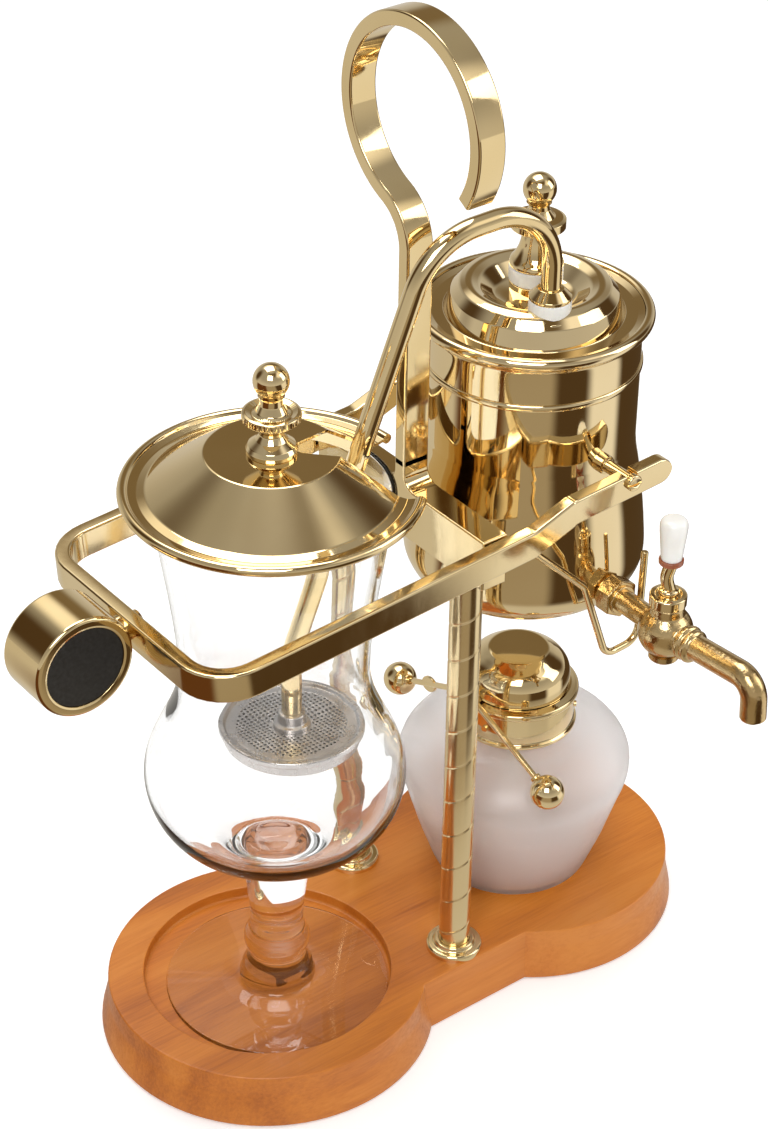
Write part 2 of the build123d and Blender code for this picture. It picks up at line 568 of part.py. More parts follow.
# ================================================================ glass vessel and its lid
def glass_vessel():
    """Blown vessel on a solid stem and a flat foot."""
    z0 = RECESS_Z
    outer = [(0, z0), (FOOT_R, z0), (FOOT_R, z0 + 1.8), (22.0, z0 + 3.2), (15.4, z0 + 6.2),
             (14.5, z0 + 10.0),
             (11.8, z0 + 17.0), (13.3, z0 + 22.6), (13.1, z0 + 27.5), (10.9, z0 + 31.6),
             (11.2, z0 + 41.0), (12.6, z0 + 54.0),
             (14.8, z0 + 66.0), (25.0, z0 + 76.5), (37.0, z0 + 84.5), (46.3, z0 + 93.5),
             (50.8, z0 + 104.0),
             (51.5, z0 + 113.0), (48.0, z0 + 126.0), (42.4, z0 + 137.5), (38.4, z0 + 148.0),
             (36.8, z0 + 158.0), (37.4, z0 + 173.0),
             (39.6, z0 + 193.0), (42.8, z0 + 216.0), (45.8, GLASS_TOP - 2.0), (46.2, GLASS_TOP)]
    t = GLASS_T
    inner = [(46.2 - t, GLASS_TOP), (45.8 - t, GLASS_TOP - 2.0), (42.8 - t, z0 + 216.0),
             (39.6 - t, z0 + 193.0),
             (37.4 - t, z0 + 173.0), (36.8 - t, z0 + 158.0), (38.3 - t, z0 + 147.2),
             (42.2 - t, z0 + 136.0), (47.4 - t, z0 + 125.0),
             (51.4 - t, z0 + 113.0), (50.2 - t, z0 + 104.6), (45.4 - t, z0 + 95.6), (35.6, z0 + 87.4),
             (24.6, z0 + 80.4),
             (14.4, z0 + 77.0), (8.0, z0 + 79.2), (0, z0 + 80.0)]
    points = outer + inner
    last = len(points) - 1
    return spin(points, GLASS_X, GLASS_Y, smooth=((3, 25), (27, last)))


def glass_lid():
    """Spun lid with a flat top, a sloping side, a channel and a rolled rim, notched for the tube."""
    z, t = LID_Z, LID_T
    edge = LID_RIM_R - LID_ROLL + 0.5
    points = [(2.6, PLATE_Z), (PLATE_R, PLATE_Z), (36.0, z + 8.9), (46.6, z + 2.0), (48.4, z + 1.2),
              (edge, z + 1.2),
              (edge, z), (48.0, z), (46.0, z + 0.7), (35.4, z + 7.7), (PLATE_R - 0.4, PLATE_Z - t),
              (2.6, PLATE_Z - t)]
    body = spin(points, GLASS_X, GLASS_Y) + torus(GLASS_X, GLASS_Y, z + 0.6, LID_RIM_R, LID_ROLL)
    seat_r = 43.4
    body += ring(GLASS_X, GLASS_Y, z - 3.0, z + 3.4, seat_r, seat_r - 1.2)
    ax, ay = GLASS_X + NOTCH_X, GLASS_Y + NOTCH_Y
    reach = 70.0
    start, end = (radians(angle) for angle in NOTCH_DEG)
    wedge = [(ax - NOTCH_R * sin(start), ay + NOTCH_R * cos(start)),
             (ax - NOTCH_R * sin(start) + reach * cos(start),
              ay + NOTCH_R * cos(start) + reach * sin(start)),
             (ax + NOTCH_R * sin(end) + reach * cos(end), ay - NOTCH_R * cos(end) + reach * sin(end)),
             (ax + NOTCH_R * sin(end), ay - NOTCH_R * cos(end))]
    cut = Pos(0, 0, z - 10) * extrude(make_face(Polyline(*wedge, close=True)), 40)
    return body - cut - disc(ax, ay, z - 10, z + 30, NOTCH_R)


def lid_finial():
    """Turned finial: foot, neck, knurled dish, neck and ball, on a stud through the lid."""
    z = PLATE_Z
    points = [(0, z - 5), (2.5, z - 5), (2.5, z), (9.4, z), (9.7, z + 1.4), (9.4, z + 3.2),
              (7.4, z + 5.0), (4.6, z + 7.0),
              (4.2, z + 8.6), (5.4, z + 10.2), (9.8, z + 13.2), (11.0, z + 14.4), (11.0, z + 16.6),
              (9.8, z + 17.0), (6.4, z + 16.0),
              (5.6, z + 17.6), (4.2, z + 20.4), (3.9, z + 22.4), (4.4, z + 24.6), (0, z + 24.6)]
    body = spin(points, GLASS_X, GLASS_Y, smooth=((3, 9), (15, 18)))
    return body + Pos(GLASS_X, GLASS_Y, z + 29.6) * Sphere(6.8)


# ================================================================ burner
def burner_bottle():
    """Frosted bottle with a full belly and a short neck."""
    z, t, neck = BASE_TOP, 2.4, COLLAR_RAD - 1.6
    top = COLLAR_Z1 - 2.0
    outer = [(0, z), (30.0, z), (33.4, z + 1.2), (34.6, z + 3.6), (36.8, z + 9.6), (40.2, z + 19.0),
             (43.4, z + 29.5), (46.4, z + 39.5), (48.6, z + 46.6), (BELLY_R, BELLY_Z), (48.9, z + 56.0),
             (46.6, z + 60.6), (42.4, z + 64.8), (36.8, z + 68.2), (31.0, z + 70.4),
             (neck + 0.6, z + 71.6), (neck, z + 72.4),
             (neck, top)]
    inner = [(neck - t, top), (neck - t, z + 71.0), (31.0, z + 68.0), (40.8, z + 62.8), (46.4, z + 55.4),
             (BELLY_R - t, BELLY_Z), (46.2, z + 46.6), (44.0, z + 39.5),
             (41.0, z + 29.5), (37.8, z + 19.0), (34.4, z + 9.6), (31.6, z + 4.6), (29.0, z + 3.0),
             (0, z + 3.0)]
    return spin(outer + inner, BURN_X, 0, smooth=((3, 15), (19, 28)))


def fuel():
    """Spirit in the bottle."""
    z = BASE_TOP
    points = [(0, z + 3.2), (28.6, z + 3.2), (31.2, z + 4.8), (34.1, z + 9.8), (37.5, z + 19.0),
              (40.7, z + 29.5), (42.3, z + 35.0), (0, z + 35.0)]
    return spin(points, BURN_X, 0, smooth=((2, 6),)) - disc(BURN_X, 0, z + 8.9, z + 40, 3.0)


def burner_collar():
    """Brass collar over the bottle neck, with a bead, a floor for the wick and the fixed hinge ear."""
    z0, z1, r = COLLAR_Z0, COLLAR_Z1, COLLAR_RAD
    bore = r - 1.55
    points = [(bore, z0), (r + 0.9, z0), (r + 1.2, z0 + 0.8), (r + 0.9, z0 + 1.6), (r, z0 + 1.8),
              (r, z1 - 3.6), (r + 1.5, z1 - 2.1),
              (r, z1 - 0.6), (DOME_R + 0.6, z1), (3.0 + 1.05, z1), (3.0 + 1.05, z1 - 1.4),
              (bore, z1 - 1.4)]
    body = spin(points, BURN_X, 0, smooth=((1, 3), (5, 7)))
    ear = along_y(HINGE_X, HINGE_Z, -1.4, 1.4, 2.6) + block(HINGE_X - 1.2, BURN_X - 20, -1.4, 1.4, z1 - 6,
                                                            HINGE_Z - 1.2)
    ear -= disc(BURN_X, 0, z0, z1, r - 0.5) + disc(BURN_X, 0, z1 - 0.2, z1 + 9, DOME_R + 0.5)
    return body + ear - along_y(HINGE_X, HINGE_Z, -9, 9, 1.1) - collar_rivets()


def collar_rivets():
    """Small rivets round the collar."""
    rivets = []
    for angle in (-42, 78, 198):
        turn = Pos(BURN_X, 0, COLLAR_Z0 + 7.5) * Rot(0, 0, angle)
        rivets.append(turn * Pos(COLLAR_RAD - 0.05, 0, 0) * Rot(0, 90, 0) * Cylinder(1.3, 1.9))
    return Compound(rivets)


def wick_holder():
    """Tube and flange that hold the wick in the collar floor."""
    z = COLLAR_Z1
    return ring(BURN_X, 0, z, z + 1.0, 8.0, 3.0) + ring(BURN_X, 0, z - 9.0, z + 5.0, 4.0, 3.0)


def wick():
    """Round wick, from the fuel to just above its holder."""
    return disc(BURN_X, 0, BASE_TOP + 9.0, COLLAR_Z1 + 8.0, 2.95)


def snuffer_dome():
    """Hinged snuffer: a spun dome with a flat top and the moving hinge ears."""
    z, top, r, flat, t = COLLAR_Z1 + 0.3, DOME_TOP, DOME_R, DOME_FLAT, 1.0
    points = [(r, z), (r, z + 4.5), (r - 1.8, z + 10.6), (r - 6.0, top - 2.0), (flat, top), (0, top),
              (0, top - t),
              (flat - 0.4, top - t), (r - 6.8, top - 3.0), (r - 2.8, z + 10.2), (r - t, z + 4.4),
              (r - t, z)]
    body = spin(points, BURN_X, 0, smooth=((1, 4), (7, 10)))
    for side in (-1, 1):
        y0, y1 = sorted((side * 1.6, side * 4.4))
        ear = along_y(HINGE_X, HINGE_Z, y0, y1, 2.4) + block(HINGE_X, BURN_X - 18, y0, y1, HINGE_Z - 0.6,
                                                             HINGE_Z + 1.8)
        body += ear - disc(BURN_X, 0, z - 5, z + 30, r - 0.5)
    return body - along_y(HINGE_X, HINGE_Z, -9, 9, HINGE_RUN)


def hinge_pin():
    """Pin of the snuffer hinge."""
    return along_y(HINGE_X, HINGE_Z, -4.4, 4.4, 1.1)


def snuffer_lever(side):
    """Rod from the hinge ear out and down to a ball; the rear rod carries a small leaf."""
    root = (HINGE_X - 1.0, side * 4.4, HINGE_Z + 1.2)
    end = (BALL_X, side * BALL_Y, BALL_Z)
    body = rod(root, end, ROD_R) - block(HINGE_X - 9, HINGE_X + 9, -4.4, 4.4, HINGE_Z - 9, HINGE_Z + 9)
    body += Pos(*end) * Sphere(BALL_R)
    if side > 0:
        at = [a + (b - a) * 0.5 for a, b in zip(root, end)]
        body += Pos(*at) * Rot(-28, 0, 0) * Rot(0, 90, 0) * Cylinder(4.6, 1.4)
    return body


NODES = {
    "wood_base": wood_base, "base_felt": base_felt, "base_screws": base_screws,
    "column_front": lambda: column(-1), "column_rear": lambda: column(1),
    "column_collar_front": lambda: column_collar(-1), "column_collar_rear": lambda: column_collar(1),
    "carry_handle": carry_handle, "pivot_pins": pivot_pins,
    "beam_ring": beam_ring, "counterweight": counterweight, "medallion": medallion,
    "weight_screw": weight_screw, "weight_spacer": weight_spacer, "tap_cradle_wire": tap_cradle_wire,
    "boiler_body": boiler_body, "boiler_lid": boiler_lid, "tube_gasket": tube_gasket,
    "tube_nut": tube_nut,
    "filler_gasket": filler_gasket, "filler_knob": filler_knob,
    "trunnion_front": lambda: trunnion(-1), "trunnion_rear": lambda: trunnion(1),
    "tap_nut": tap_nut, "tap_body": tap_body, "tap_cap": tap_cap, "tap_bottom_nut": tap_bottom_nut,
    "tap_plug": tap_plug, "tap_ferrule": tap_ferrule, "tap_grip": tap_grip,
    "siphon_tube": siphon_tube, "filter_hub": filter_hub, "filter_drum": filter_drum,
    "filter_plate": filter_plate, "filter_cloth": filter_cloth,
    "glass_vessel": glass_vessel, "glass_lid": glass_lid, "lid_finial": lid_finial,
    "burner_bottle": burner_bottle, "burner_collar": burner_collar, "collar_rivets": collar_rivets,
    "wick_holder": wick_holder, "wick": wick, "fuel": fuel, "snuffer_dome": snuffer_dome,
    "hinge_pin": hinge_pin,
    "snuffer_lever_front": lambda: snuffer_lever(-1), "snuffer_lever_rear": lambda: snuffer_lever(1),
}

for node, make in NODES.items():
    save(node, make())
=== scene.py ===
"""Looks of the balance siphon coffee maker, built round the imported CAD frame.

Lengths are millimetres until a mesh is made.  Beam pieces are drawn with the beam level and turned by
REST about the pivot (LEVEL); boiler pieces are drawn about y = 0 and moved to the boiler (HANG).
"""
from math import acos, atan2, cos, degrees, pi, radians, sin, sqrt, tan

import bmesh
import bpy
from mathutils import Matrix, Vector


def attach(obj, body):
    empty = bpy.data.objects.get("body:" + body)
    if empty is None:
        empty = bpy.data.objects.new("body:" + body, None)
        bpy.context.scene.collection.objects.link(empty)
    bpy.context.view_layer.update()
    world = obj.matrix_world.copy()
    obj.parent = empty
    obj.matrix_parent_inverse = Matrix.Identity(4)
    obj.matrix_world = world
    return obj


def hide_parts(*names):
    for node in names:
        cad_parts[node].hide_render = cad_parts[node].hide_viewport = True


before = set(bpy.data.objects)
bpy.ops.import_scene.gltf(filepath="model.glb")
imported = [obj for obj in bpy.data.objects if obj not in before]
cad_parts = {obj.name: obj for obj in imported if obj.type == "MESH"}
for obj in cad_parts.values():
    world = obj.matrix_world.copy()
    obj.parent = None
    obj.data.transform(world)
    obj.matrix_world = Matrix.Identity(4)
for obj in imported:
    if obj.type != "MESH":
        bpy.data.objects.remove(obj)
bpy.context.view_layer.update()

MM = 0.001
TURN = 2 * pi

# ------------------------------------------------------------------ sizes shared with the CAD
FELT = 1.0
BASE_TOP = 24.0
LEFT_X, LEFT_R, LEFT_FLARE = -65.0, 66.0, 3.3
RIGHT_X, RIGHT_R, RIGHT_FLARE = 74.0, 61.8, 3.0
WAIST, WAIST_FLARE = 47.6, 2.6
RECESS_R, RECESS_Z = 51.2, 19.0
COL_X, COL_Y, COL_R = 5.5, 35.5, 6.4
CROSS_Z0, CROSS_Z1, CROSS_HALF = 214.0, 236.0, 51.6
STRAP_W, STRAP_T, WEB = 12.0, 6.0, 12.0
STEM_TOP, HOOK_R, HOOK_BACK_R, HOOK_LEAN, HOOK_TIP = 335.5, 37.2, 20.0, 112.1, 212.0
PIVOT_X, PIVOT_Z, REST = 5.5, 230.0, 3.5
BAR_H, BAR_T, RING_X0, RING_W, RING_R = 12.0, 6.0, -128.5, 58.6, 20.0
ARM_RISE, ARM_END, JOG_X0, JOG_X1 = 5.2, 88.0, 20.0, 40.0
WEIGHT_R, WEIGHT_L, WEIGHT_X, MEDAL_R = 20.3, 24.0, -151.0, 16.2
BOIL_X, BOIL_Y, BOIL_Z, BOIL_R, FULL_R = 67.0, 3.0, 241.7, 42.6, 49.0
BOIL_BOTTOM = BOIL_Z - 70.7
RIM_Z, RIM_R, RIM_ROLL = BOIL_Z + 48.2, 44.6, 2.4
BEAD_Z = BOIL_Z + 28.0
CREST_R, CREST_Z = 25.8, BOIL_Z + 60.8
TUBE_X, TUBE_Y, TUBE_R = BOIL_X - 9.4, -19.6, 4.0
SEAL_Z, FILL_Z = BOIL_Z + 57.1, BOIL_Z + 61.4
ARCH_Z, ARCH_R = BOIL_Z + 105.7, (35.0, 30.0, 30.0)
ARCH_SPAN, ARCH_DROP, ARCH_FALL = 55.3, 2.9, 69.2
TAP_X, TAP_Z, TAP_Y, TAP_BALL = BOIL_X + 3.4, BOIL_Z - 58.6, -82.5, 11.0
SPOUT_R, SPOUT_END, SPOUT_RISE = 5.2, -132.0, 4.2
GLASS_X, GLASS_Y, GLASS_T, GLASS_TOP, FOOT_R = -63.2, -4.5, 2.2, 259.5, 46.0
LID_Z, LID_RIM, LID_ROLL, PLATE_R, PLATE_Z = 259.6, 55.2, 2.0, 25.3, 276.0
NOTCH_X, NOTCH_Y, NOTCH_R, NOTCH_DEG = 12.2, -5.2, 4.6, (4.0, -46.0)
FILT_X, FILT_Y, FILT_R, FILT_TOP = -58.0, -8.5, 28.6, 154.0
BURN_X, BELLY_R = 65.0, 49.5
COLLAR_Z0, COLLAR_Z1, COLLAR_R = 96.5, 115.0, 24.4
DOME_R, DOME_TOP, DOME_FLAT = 22.2, 132.0, 11.5
HINGE_X, HINGE_Z = 38.4, 117.6
BALL_R, BALL_X, BALL_Y, BALL_Z = 7.2, 41.0, 49.0, 97.0

PIVOT = Vector((PIVOT_X, 0, PIVOT_Z))
LEVEL = Matrix.Translation(PIVOT) @ Matrix.Rotation(radians(-REST), 4, "Y") @ Matrix.Translation(-PIVOT)
HANG = Matrix.Translation((0, BOIL_Y, 0))


# ------------------------------------------------------------------ outlines and routes
def rounded(points, steps=5, loop=False):
    """Polyline with each corner that carries a radius (its last entry in a pair) turned into an arc."""
    spots = [(Vector(p), r) for p, r in points]
    count = len(spots)
    line = []
    for i, (spot, radius) in enumerate(spots):
        before, after = spots[i - 1][0] - spot, spots[(i + 1) % count][0] - spot
        bent = min(before.length, after.length) > 1e-6 and before.angle(after) < pi - 0.02
        if not radius or not bent or (not loop and i in (0, count - 1)):
            line.append(spot)
            continue
        half = before.angle(after) / 2
        reach = min(radius / tan(half), 0.499 * before.length, 0.499 * after.length)
        size = reach * tan(half)
        centre = spot + (before.normalized() + after.normalized()).normalized() * (size / sin(half))
        first, last = spot + before.normalized() * reach - centre, spot + after.normalized() * reach - centre
        sweep = first.angle(last)
        for k in range(steps + 1):
            t = k / steps
            line.append(centre + (first * sin((1 - t) * sweep) + last * sin(t * sweep)) / sin(sweep))
    return line


def flowing(points, steps=5):
    """Smooth curve through the points."""
    spots = [Vector(p) for p in points]
    spots = [2 * spots[0] - spots[1]] + spots + [2 * spots[-1] - spots[-2]]
    line = []
    for a, b, c, d in zip(spots, spots[1:], spots[2:], spots[3:]):
        for k in range(steps):
            t = k / steps
            line.append(0.5 * (2 * b + (c - a) * t + (2 * a - 5 * b + 4 * c - d) * t * t
                               + (3 * b - a - 3 * c + d) * t ** 3))
    return line + [spots[-2]]


def sharp(*points, r=0.0):
    """Profile corners, all with the same radius."""
    return [(p, r) for p in points]


def risen(z, *corners):
    """Outline from (radius, height above z) for flowing(), with the corner's own radius for rounded()."""
    return [((c[0], z + c[1]), c[2]) if len(c) == 3 else (c[0], z + c[1]) for c in corners]


def ring_section(width, height, r, steps=3):
    """Rounded rectangle about the origin."""
    w, h = width / 2, height / 2
    return rounded(sharp((w, h), (-w, h), (-w, -h), (w, -h), r=r), steps, loop=True)


# ------------------------------------------------------------------ meshes
def linked(name, data):
    """Object in the scene from a mesh, a light or a camera."""
    obj = bpy.data.objects.new(name, data)
    bpy.context.collection.objects.link(obj)
    return obj


def built(name, bm, crisp=35):
    """Shaded object from a bmesh, which is freed."""
    mesh = bpy.data.meshes.new(name)
    bm.to_mesh(mesh)
    bm.free()
    return finish_mesh(linked(name, mesh), crisp)


def add_face(bm, corners):
    """Face on the corners, unless there is one already."""
    try:
        bm.faces.new(corners)
    except ValueError:
        pass


def make(name, verts, faces, pose=None, crisp=35):
    """Object from millimetre geometry, smooth shaded but for its real edges."""
    bm = bmesh.new()
    turn = pose or Matrix()
    spots = [bm.verts.new((turn @ Vector(v)) * MM) for v in verts]
    for face in faces:
        corners = [spots[i] for i in dict.fromkeys(face)]
        if len(corners) > 2:
            add_face(bm, corners)
    bmesh.ops.remove_doubles(bm, verts=bm.verts, dist=1e-7)
    bmesh.ops.dissolve_degenerate(bm, dist=1e-8, edges=bm.edges)
    bmesh.ops.recalc_face_normals(bm, faces=bm.faces)
    return built(name, bm, crisp)


def finish_mesh(obj, crisp=35):
    """Smooth shading with sharp edges by angle and face-weighted normals."""
    obj.data.shade_smooth()
    obj.data.set_sharp_from_angle(angle=radians(crisp))
    if "weighted" not in obj.modifiers:
        mod = obj.modifiers.new("weighted", "WEIGHTED_NORMAL")
        mod.keep_sharp = True
    return obj


def lathe(name, profile, at=(0, 0), axis="Z", segs=96, loop=False, pose=None, wave=None, crisp=35):
    """Turned piece.  profile holds (radius, height); wave(angle, radius, height) adds to the radius."""
    verts, faces = [], []
    rows = len(profile)
    for i in range(segs):
        a = TURN * i / segs
        for r, h in profile:
            r = r + wave(a, r, h) if wave and r > 0 else r
            u, v = r * cos(a), r * sin(a)
            spot = {"Z": (at[0] + u, at[1] + v, h), "Y": (at[0] + u, h, at[1] + v),
                    "X": (h, at[0] + u, at[1] + v)}[axis]
            verts.append(spot)
    for i in range(segs):
        j = (i + 1) % segs
        for k in range(rows if loop else rows - 1):
            m = (k + 1) % rows
            faces.append((i * rows + k, j * rows + k, j * rows + m, i * rows + m))
    return make(name, verts, faces, pose, crisp)


def swept(name, route, section, width=None, pose=None, crisp=35, taper=None):
    """Section carried along a route; width fixes its second axis, else it is carried without twist."""
    verts, faces = [], []
    count, size = len(route), len(section)
    up = None
    for i, spot in enumerate(route):
        t = (route[min(i + 1, count - 1)] - route[max(i - 1, 0)]).normalized()
        if width is not None:
            v = Vector(width)
            u = t.cross(v).normalized()
        else:
            up = up or (Vector((0, 1, 0)) if abs(t.y) < 0.9 else Vector((1, 0, 0)))
            u = up.cross(t).normalized()
            v = t.cross(u).normalized()
            up = v
        scale = taper(i / (count - 1)) if taper else (1, 1)
        verts += [spot + u * (a * scale[0]) + v * (b * scale[1]) for a, b in section]
    for i in range(count - 1):
        for k in range(size):
            m = (k + 1) % size
            faces.append((i * size + k, i * size + m, (i + 1) * size + m, (i + 1) * size + k))
    faces += [tuple(range(size)), tuple(range((count - 1) * size, count * size))]
    return make(name, verts, faces, pose, crisp)


def circle(r, segs=28):
    """Round section."""
    return [(r * cos(TURN * k / segs), r * sin(TURN * k / segs)) for k in range(segs)]


def prism(name, outline, low, high, axis="Z", bevel=0.6, pose=None):
    """Flat outline given thickness, with eased edges."""
    def lift(a, b, h):
        return {"Z": (a, b, h), "X": (h, a, b), "Y": (a, h, b)}[axis]
    count = len(outline)
    verts = [lift(p[0], p[1], h) for h in (low, high) for p in outline]
    faces = [tuple(range(count)), tuple(range(count, 2 * count))]
    faces += [(k, (k + 1) % count, count + (k + 1) % count, count + k) for k in range(count)]
    obj = make(name, verts, faces, pose, 25)
    if bevel:
        ease(obj, bevel)
    return obj


def ease(obj, size, segments=3):
    """Small round on the hard edges."""
    mod = obj.modifiers.new("eased", "BEVEL")
    mod.width = size * MM
    mod.segments = segments
    mod.limit_method = "ANGLE"
    mod.angle_limit = radians(32)
    settle(obj)


def settle(obj):
    """Applies the modifiers into the mesh and shades it again."""
    for mod in list(obj.modifiers):
        if mod.type == "WEIGHTED_NORMAL":
            obj.modifiers.remove(mod)
    bpy.context.view_layer.update()
    shape = bpy.data.meshes.new_from_object(obj.evaluated_get(bpy.context.evaluated_depsgraph_get()))
    obj.modifiers.clear()
    obj.data = shape
    return finish_mesh(obj)


def carve(obj, *cutters):
    """Cuts the cutters out of obj."""
    for cutter in cutters:
        mod = obj.modifiers.new("cut", "BOOLEAN")
        mod.operation = "DIFFERENCE"
        mod.solver = "EXACT"
        mod.object = cutter
    settle(obj)
    for cutter in cutters:
        bpy.data.objects.remove(cutter)
    return obj


def joined(name, *objs):
    """One object from several."""
    bm = bmesh.new()
    for obj in objs:
        bm.from_mesh(obj.data)
        bpy.data.objects.remove(obj)
    return built(name, bm)


def ball(name, spot, r, pose=None, segs=48):
    """Turned ball."""
    profile = [(r * sin(pi * k / 24), spot[2] - r * cos(pi * k / 24)) for k in range(25)]
    profile[0], profile[-1] = (0, spot[2] - r), (0, spot[2] + r)
    return lathe(name, profile, spot[:2], segs=segs, pose=pose)


# ------------------------------------------------------------------ materials
def shader(name, color, **sockets):
    """Principled material; returns it with its tree and shader node."""
    mat = bpy.data.materials.new(name)
    mat.use_nodes = True
    tree = mat.node_tree
    node = tree.nodes["Principled BSDF"]
    node.inputs["Base Color"].default_value = (*color, 1)
    for key, value in sockets.items():
        node.inputs[key.replace("_", " ")].default_value = value
    return mat, tree, node


def place(tree, scale=(1, 1, 1), turn=(0, 0, 0)):
    """Object coordinates, scaled and turned."""
    coords = tree.nodes.new("ShaderNodeTexCoord")
    mapping = tree.nodes.new("ShaderNodeMapping")
    mapping.inputs["Scale"].default_value = scale
    mapping.inputs["Rotation"].default_value = turn
    tree.links.new(coords.outputs["Object"], mapping.inputs["Vector"])
    return mapping.outputs["Vector"]


def noise(tree, vector, scale, detail=3.0, rough=0.5, distort=0.0):
    """Noise factor."""
    node = tree.nodes.new("ShaderNodeTexNoise")
    node.inputs["Scale"].default_value = scale
    node.inputs["Detail"].default_value = detail
    node.inputs["Roughness"].default_value = rough
    node.inputs["Distortion"].default_value = distort
    tree.links.new(vector, node.inputs["Vector"])
    return node.outputs["Fac"]


def ramp(tree, factor, *stops):
    """Colour ramp; each stop is (position, colour or grey)."""
    node = tree.nodes.new("ShaderNodeValToRGB")
    cells = node.color_ramp.elements
    while len(cells) < len(stops):
        cells.new(0.5)
    for cell, (spot, value) in zip(cells, stops):
        cell.position = spot
        cell.color = (*value, 1) if isinstance(value, tuple) else (value, value, value, 1)
    tree.links.new(factor, node.inputs["Fac"])
    return node.outputs["Color"]


def bump(tree, node, height, strength, distance):
    """Bump into the shader's normal, chained after any that is there."""
    bumper = tree.nodes.new("ShaderNodeBump")
    bumper.inputs["Strength"].default_value = strength
    bumper.inputs["Distance"].default_value = distance * MM
    tree.links.new(height, bumper.inputs["Height"])
    if node.inputs["Normal"].is_linked:
        tree.links.new(node.inputs["Normal"].links[0].from_socket, bumper.inputs["Normal"])
    tree.links.new(bumper.outputs["Normal"], node.inputs["Normal"])


def polished(name, low, high, rough=(0.035, 0.1), grain=0.0, cast=0.0):
    """Plated brass: tone drifts a little, with faint wiping marks and, on castings, a pebbled skin."""
    mat, tree, node = shader(name, high, Metallic=1.0)
    vector = place(tree)
    tone = noise(tree, vector, 22, 2)
    tree.links.new(ramp(tree, tone, (0.3, low), (0.7, high)), node.inputs["Base Color"])
    smear = noise(tree, place(tree, (1, 1, 0.35)), 160, 5, 0.65)
    tree.links.new(ramp(tree, smear, (0.35, rough[0]), (0.75, rough[1])), node.inputs["Roughness"])
    bump(tree, node, noise(tree, vector, 60, 2), 0.05, 0.5)
    if grain:
        bump(tree, node, noise(tree, place(tree, (1, 1, 9)), 260, 4, 0.7), grain, 0.05)
    if cast:
        bump(tree, node, noise(tree, vector, 620, 3, 0.6), cast, 0.28)
        bump(tree, node, noise(tree, vector, 190, 2, 0.5), cast * 0.6, 0.5)
    return mat


GOLD = polished("champagne_gold", (0.79, 0.61, 0.32), (0.86, 0.69, 0.40))
BAR_GOLD = polished("bar_gold", (0.78, 0.61, 0.33), (0.86, 0.70, 0.42), (0.07, 0.17), grain=0.12)
ROD_GOLD = polished("rod_gold", (0.78, 0.61, 0.34), (0.85, 0.69, 0.41), (0.16, 0.26), grain=0.1)
POT_GOLD = polished("pot_gold", (0.80, 0.63, 0.36), (0.86, 0.70, 0.42), (0.03, 0.08))
CAST_GOLD = polished("cast_gold", (0.58, 0.41, 0.19), (0.72, 0.54, 0.28), (0.12, 0.3), cast=0.5)
STEEL = polished("brushed_steel", (0.50, 0.47, 0.45), (0.62, 0.585, 0.565), (0.22, 0.4), grain=0.2)


def wood():
    """Orange-brown lacquered wood, grain along the base."""
    mat, tree, node = shader("lacquered_wood", (0.6, 0.24, 0.07), Roughness=0.4, Coat_Weight=0.22,
                             Coat_Roughness=0.2)
    broad = noise(tree, place(tree, (2.2, 15, 9)), 3.4, 3, 0.5, 0.5)
    fine = noise(tree, place(tree, (9, 170, 120)), 5.5, 6, 0.62, 0.3)
    mix = tree.nodes.new("ShaderNodeMath")
    mix.operation = "MULTIPLY_ADD"
    tree.links.new(fine, mix.inputs[0])
    mix.inputs[1].default_value = 0.5
    tree.links.new(broad, mix.inputs[2])
    color = ramp(tree, mix.outputs[0], (0.5, (0.37, 0.095, 0.006)), (0.66, (0.50, 0.140, 0.010)),
                 (0.8, (0.585, 0.178, 0.014)), (0.95, (0.64, 0.215, 0.024)))
    tree.links.new(color, node.inputs["Base Color"])
    tree.links.new(ramp(tree, fine, (0.3, 0.44), (0.7, 0.3)), node.inputs["Roughness"])
    bump(tree, node, fine, 0.12, 0.25)
    return mat


def ceramic(name, low, high, rough):
    """Smooth moulded white or brown piece with a faint unevenness."""
    mat, tree, node = shader(name, high, Roughness=rough, Coat_Weight=0.4, Coat_Roughness=0.1,
                             Subsurface_Weight=0.05)
    vector = place(tree)
    tree.links.new(ramp(tree, noise(tree, vector, 90, 3), (0.3, low), (0.7, high)),
                   node.inputs["Base Color"])
    bump(tree, node, noise(tree, vector, 260, 3), 0.06, 0.2)
    return mat


def glass(name, color, rough, bumpy, ripple=40, transmission=1.0):
    """Blown glass; a slow ripple bends what is seen through it."""
    mat, tree, node = shader(name, color, Roughness=rough, IOR=1.47, Transmission_Weight=transmission)
    bump(tree, node, noise(tree, place(tree), ripple, 2), bumpy, 0.6)
    return mat


def frosted():
    """Etched glass, slightly uneven."""
    mat, tree, node = shader("frosted_glass", (0.97, 0.955, 0.955), Roughness=0.4, IOR=1.45,
                             Transmission_Weight=0.84)
    node.inputs["Subsurface Weight"].default_value = 0.15
    node.inputs["Subsurface Radius"].default_value = (0.01, 0.009, 0.009)
    vector = place(tree)
    tree.links.new(ramp(tree, noise(tree, vector, 300, 4), (0.3, 0.34), (0.7, 0.46)),
                   node.inputs["Roughness"])
    bump(tree, node, noise(tree, vector, 1800, 3), 0.1, 0.08)
    return mat


WAVES_PER_METRE = 1000 / 6.28  # wave texture scale that gives one thread each millimetre


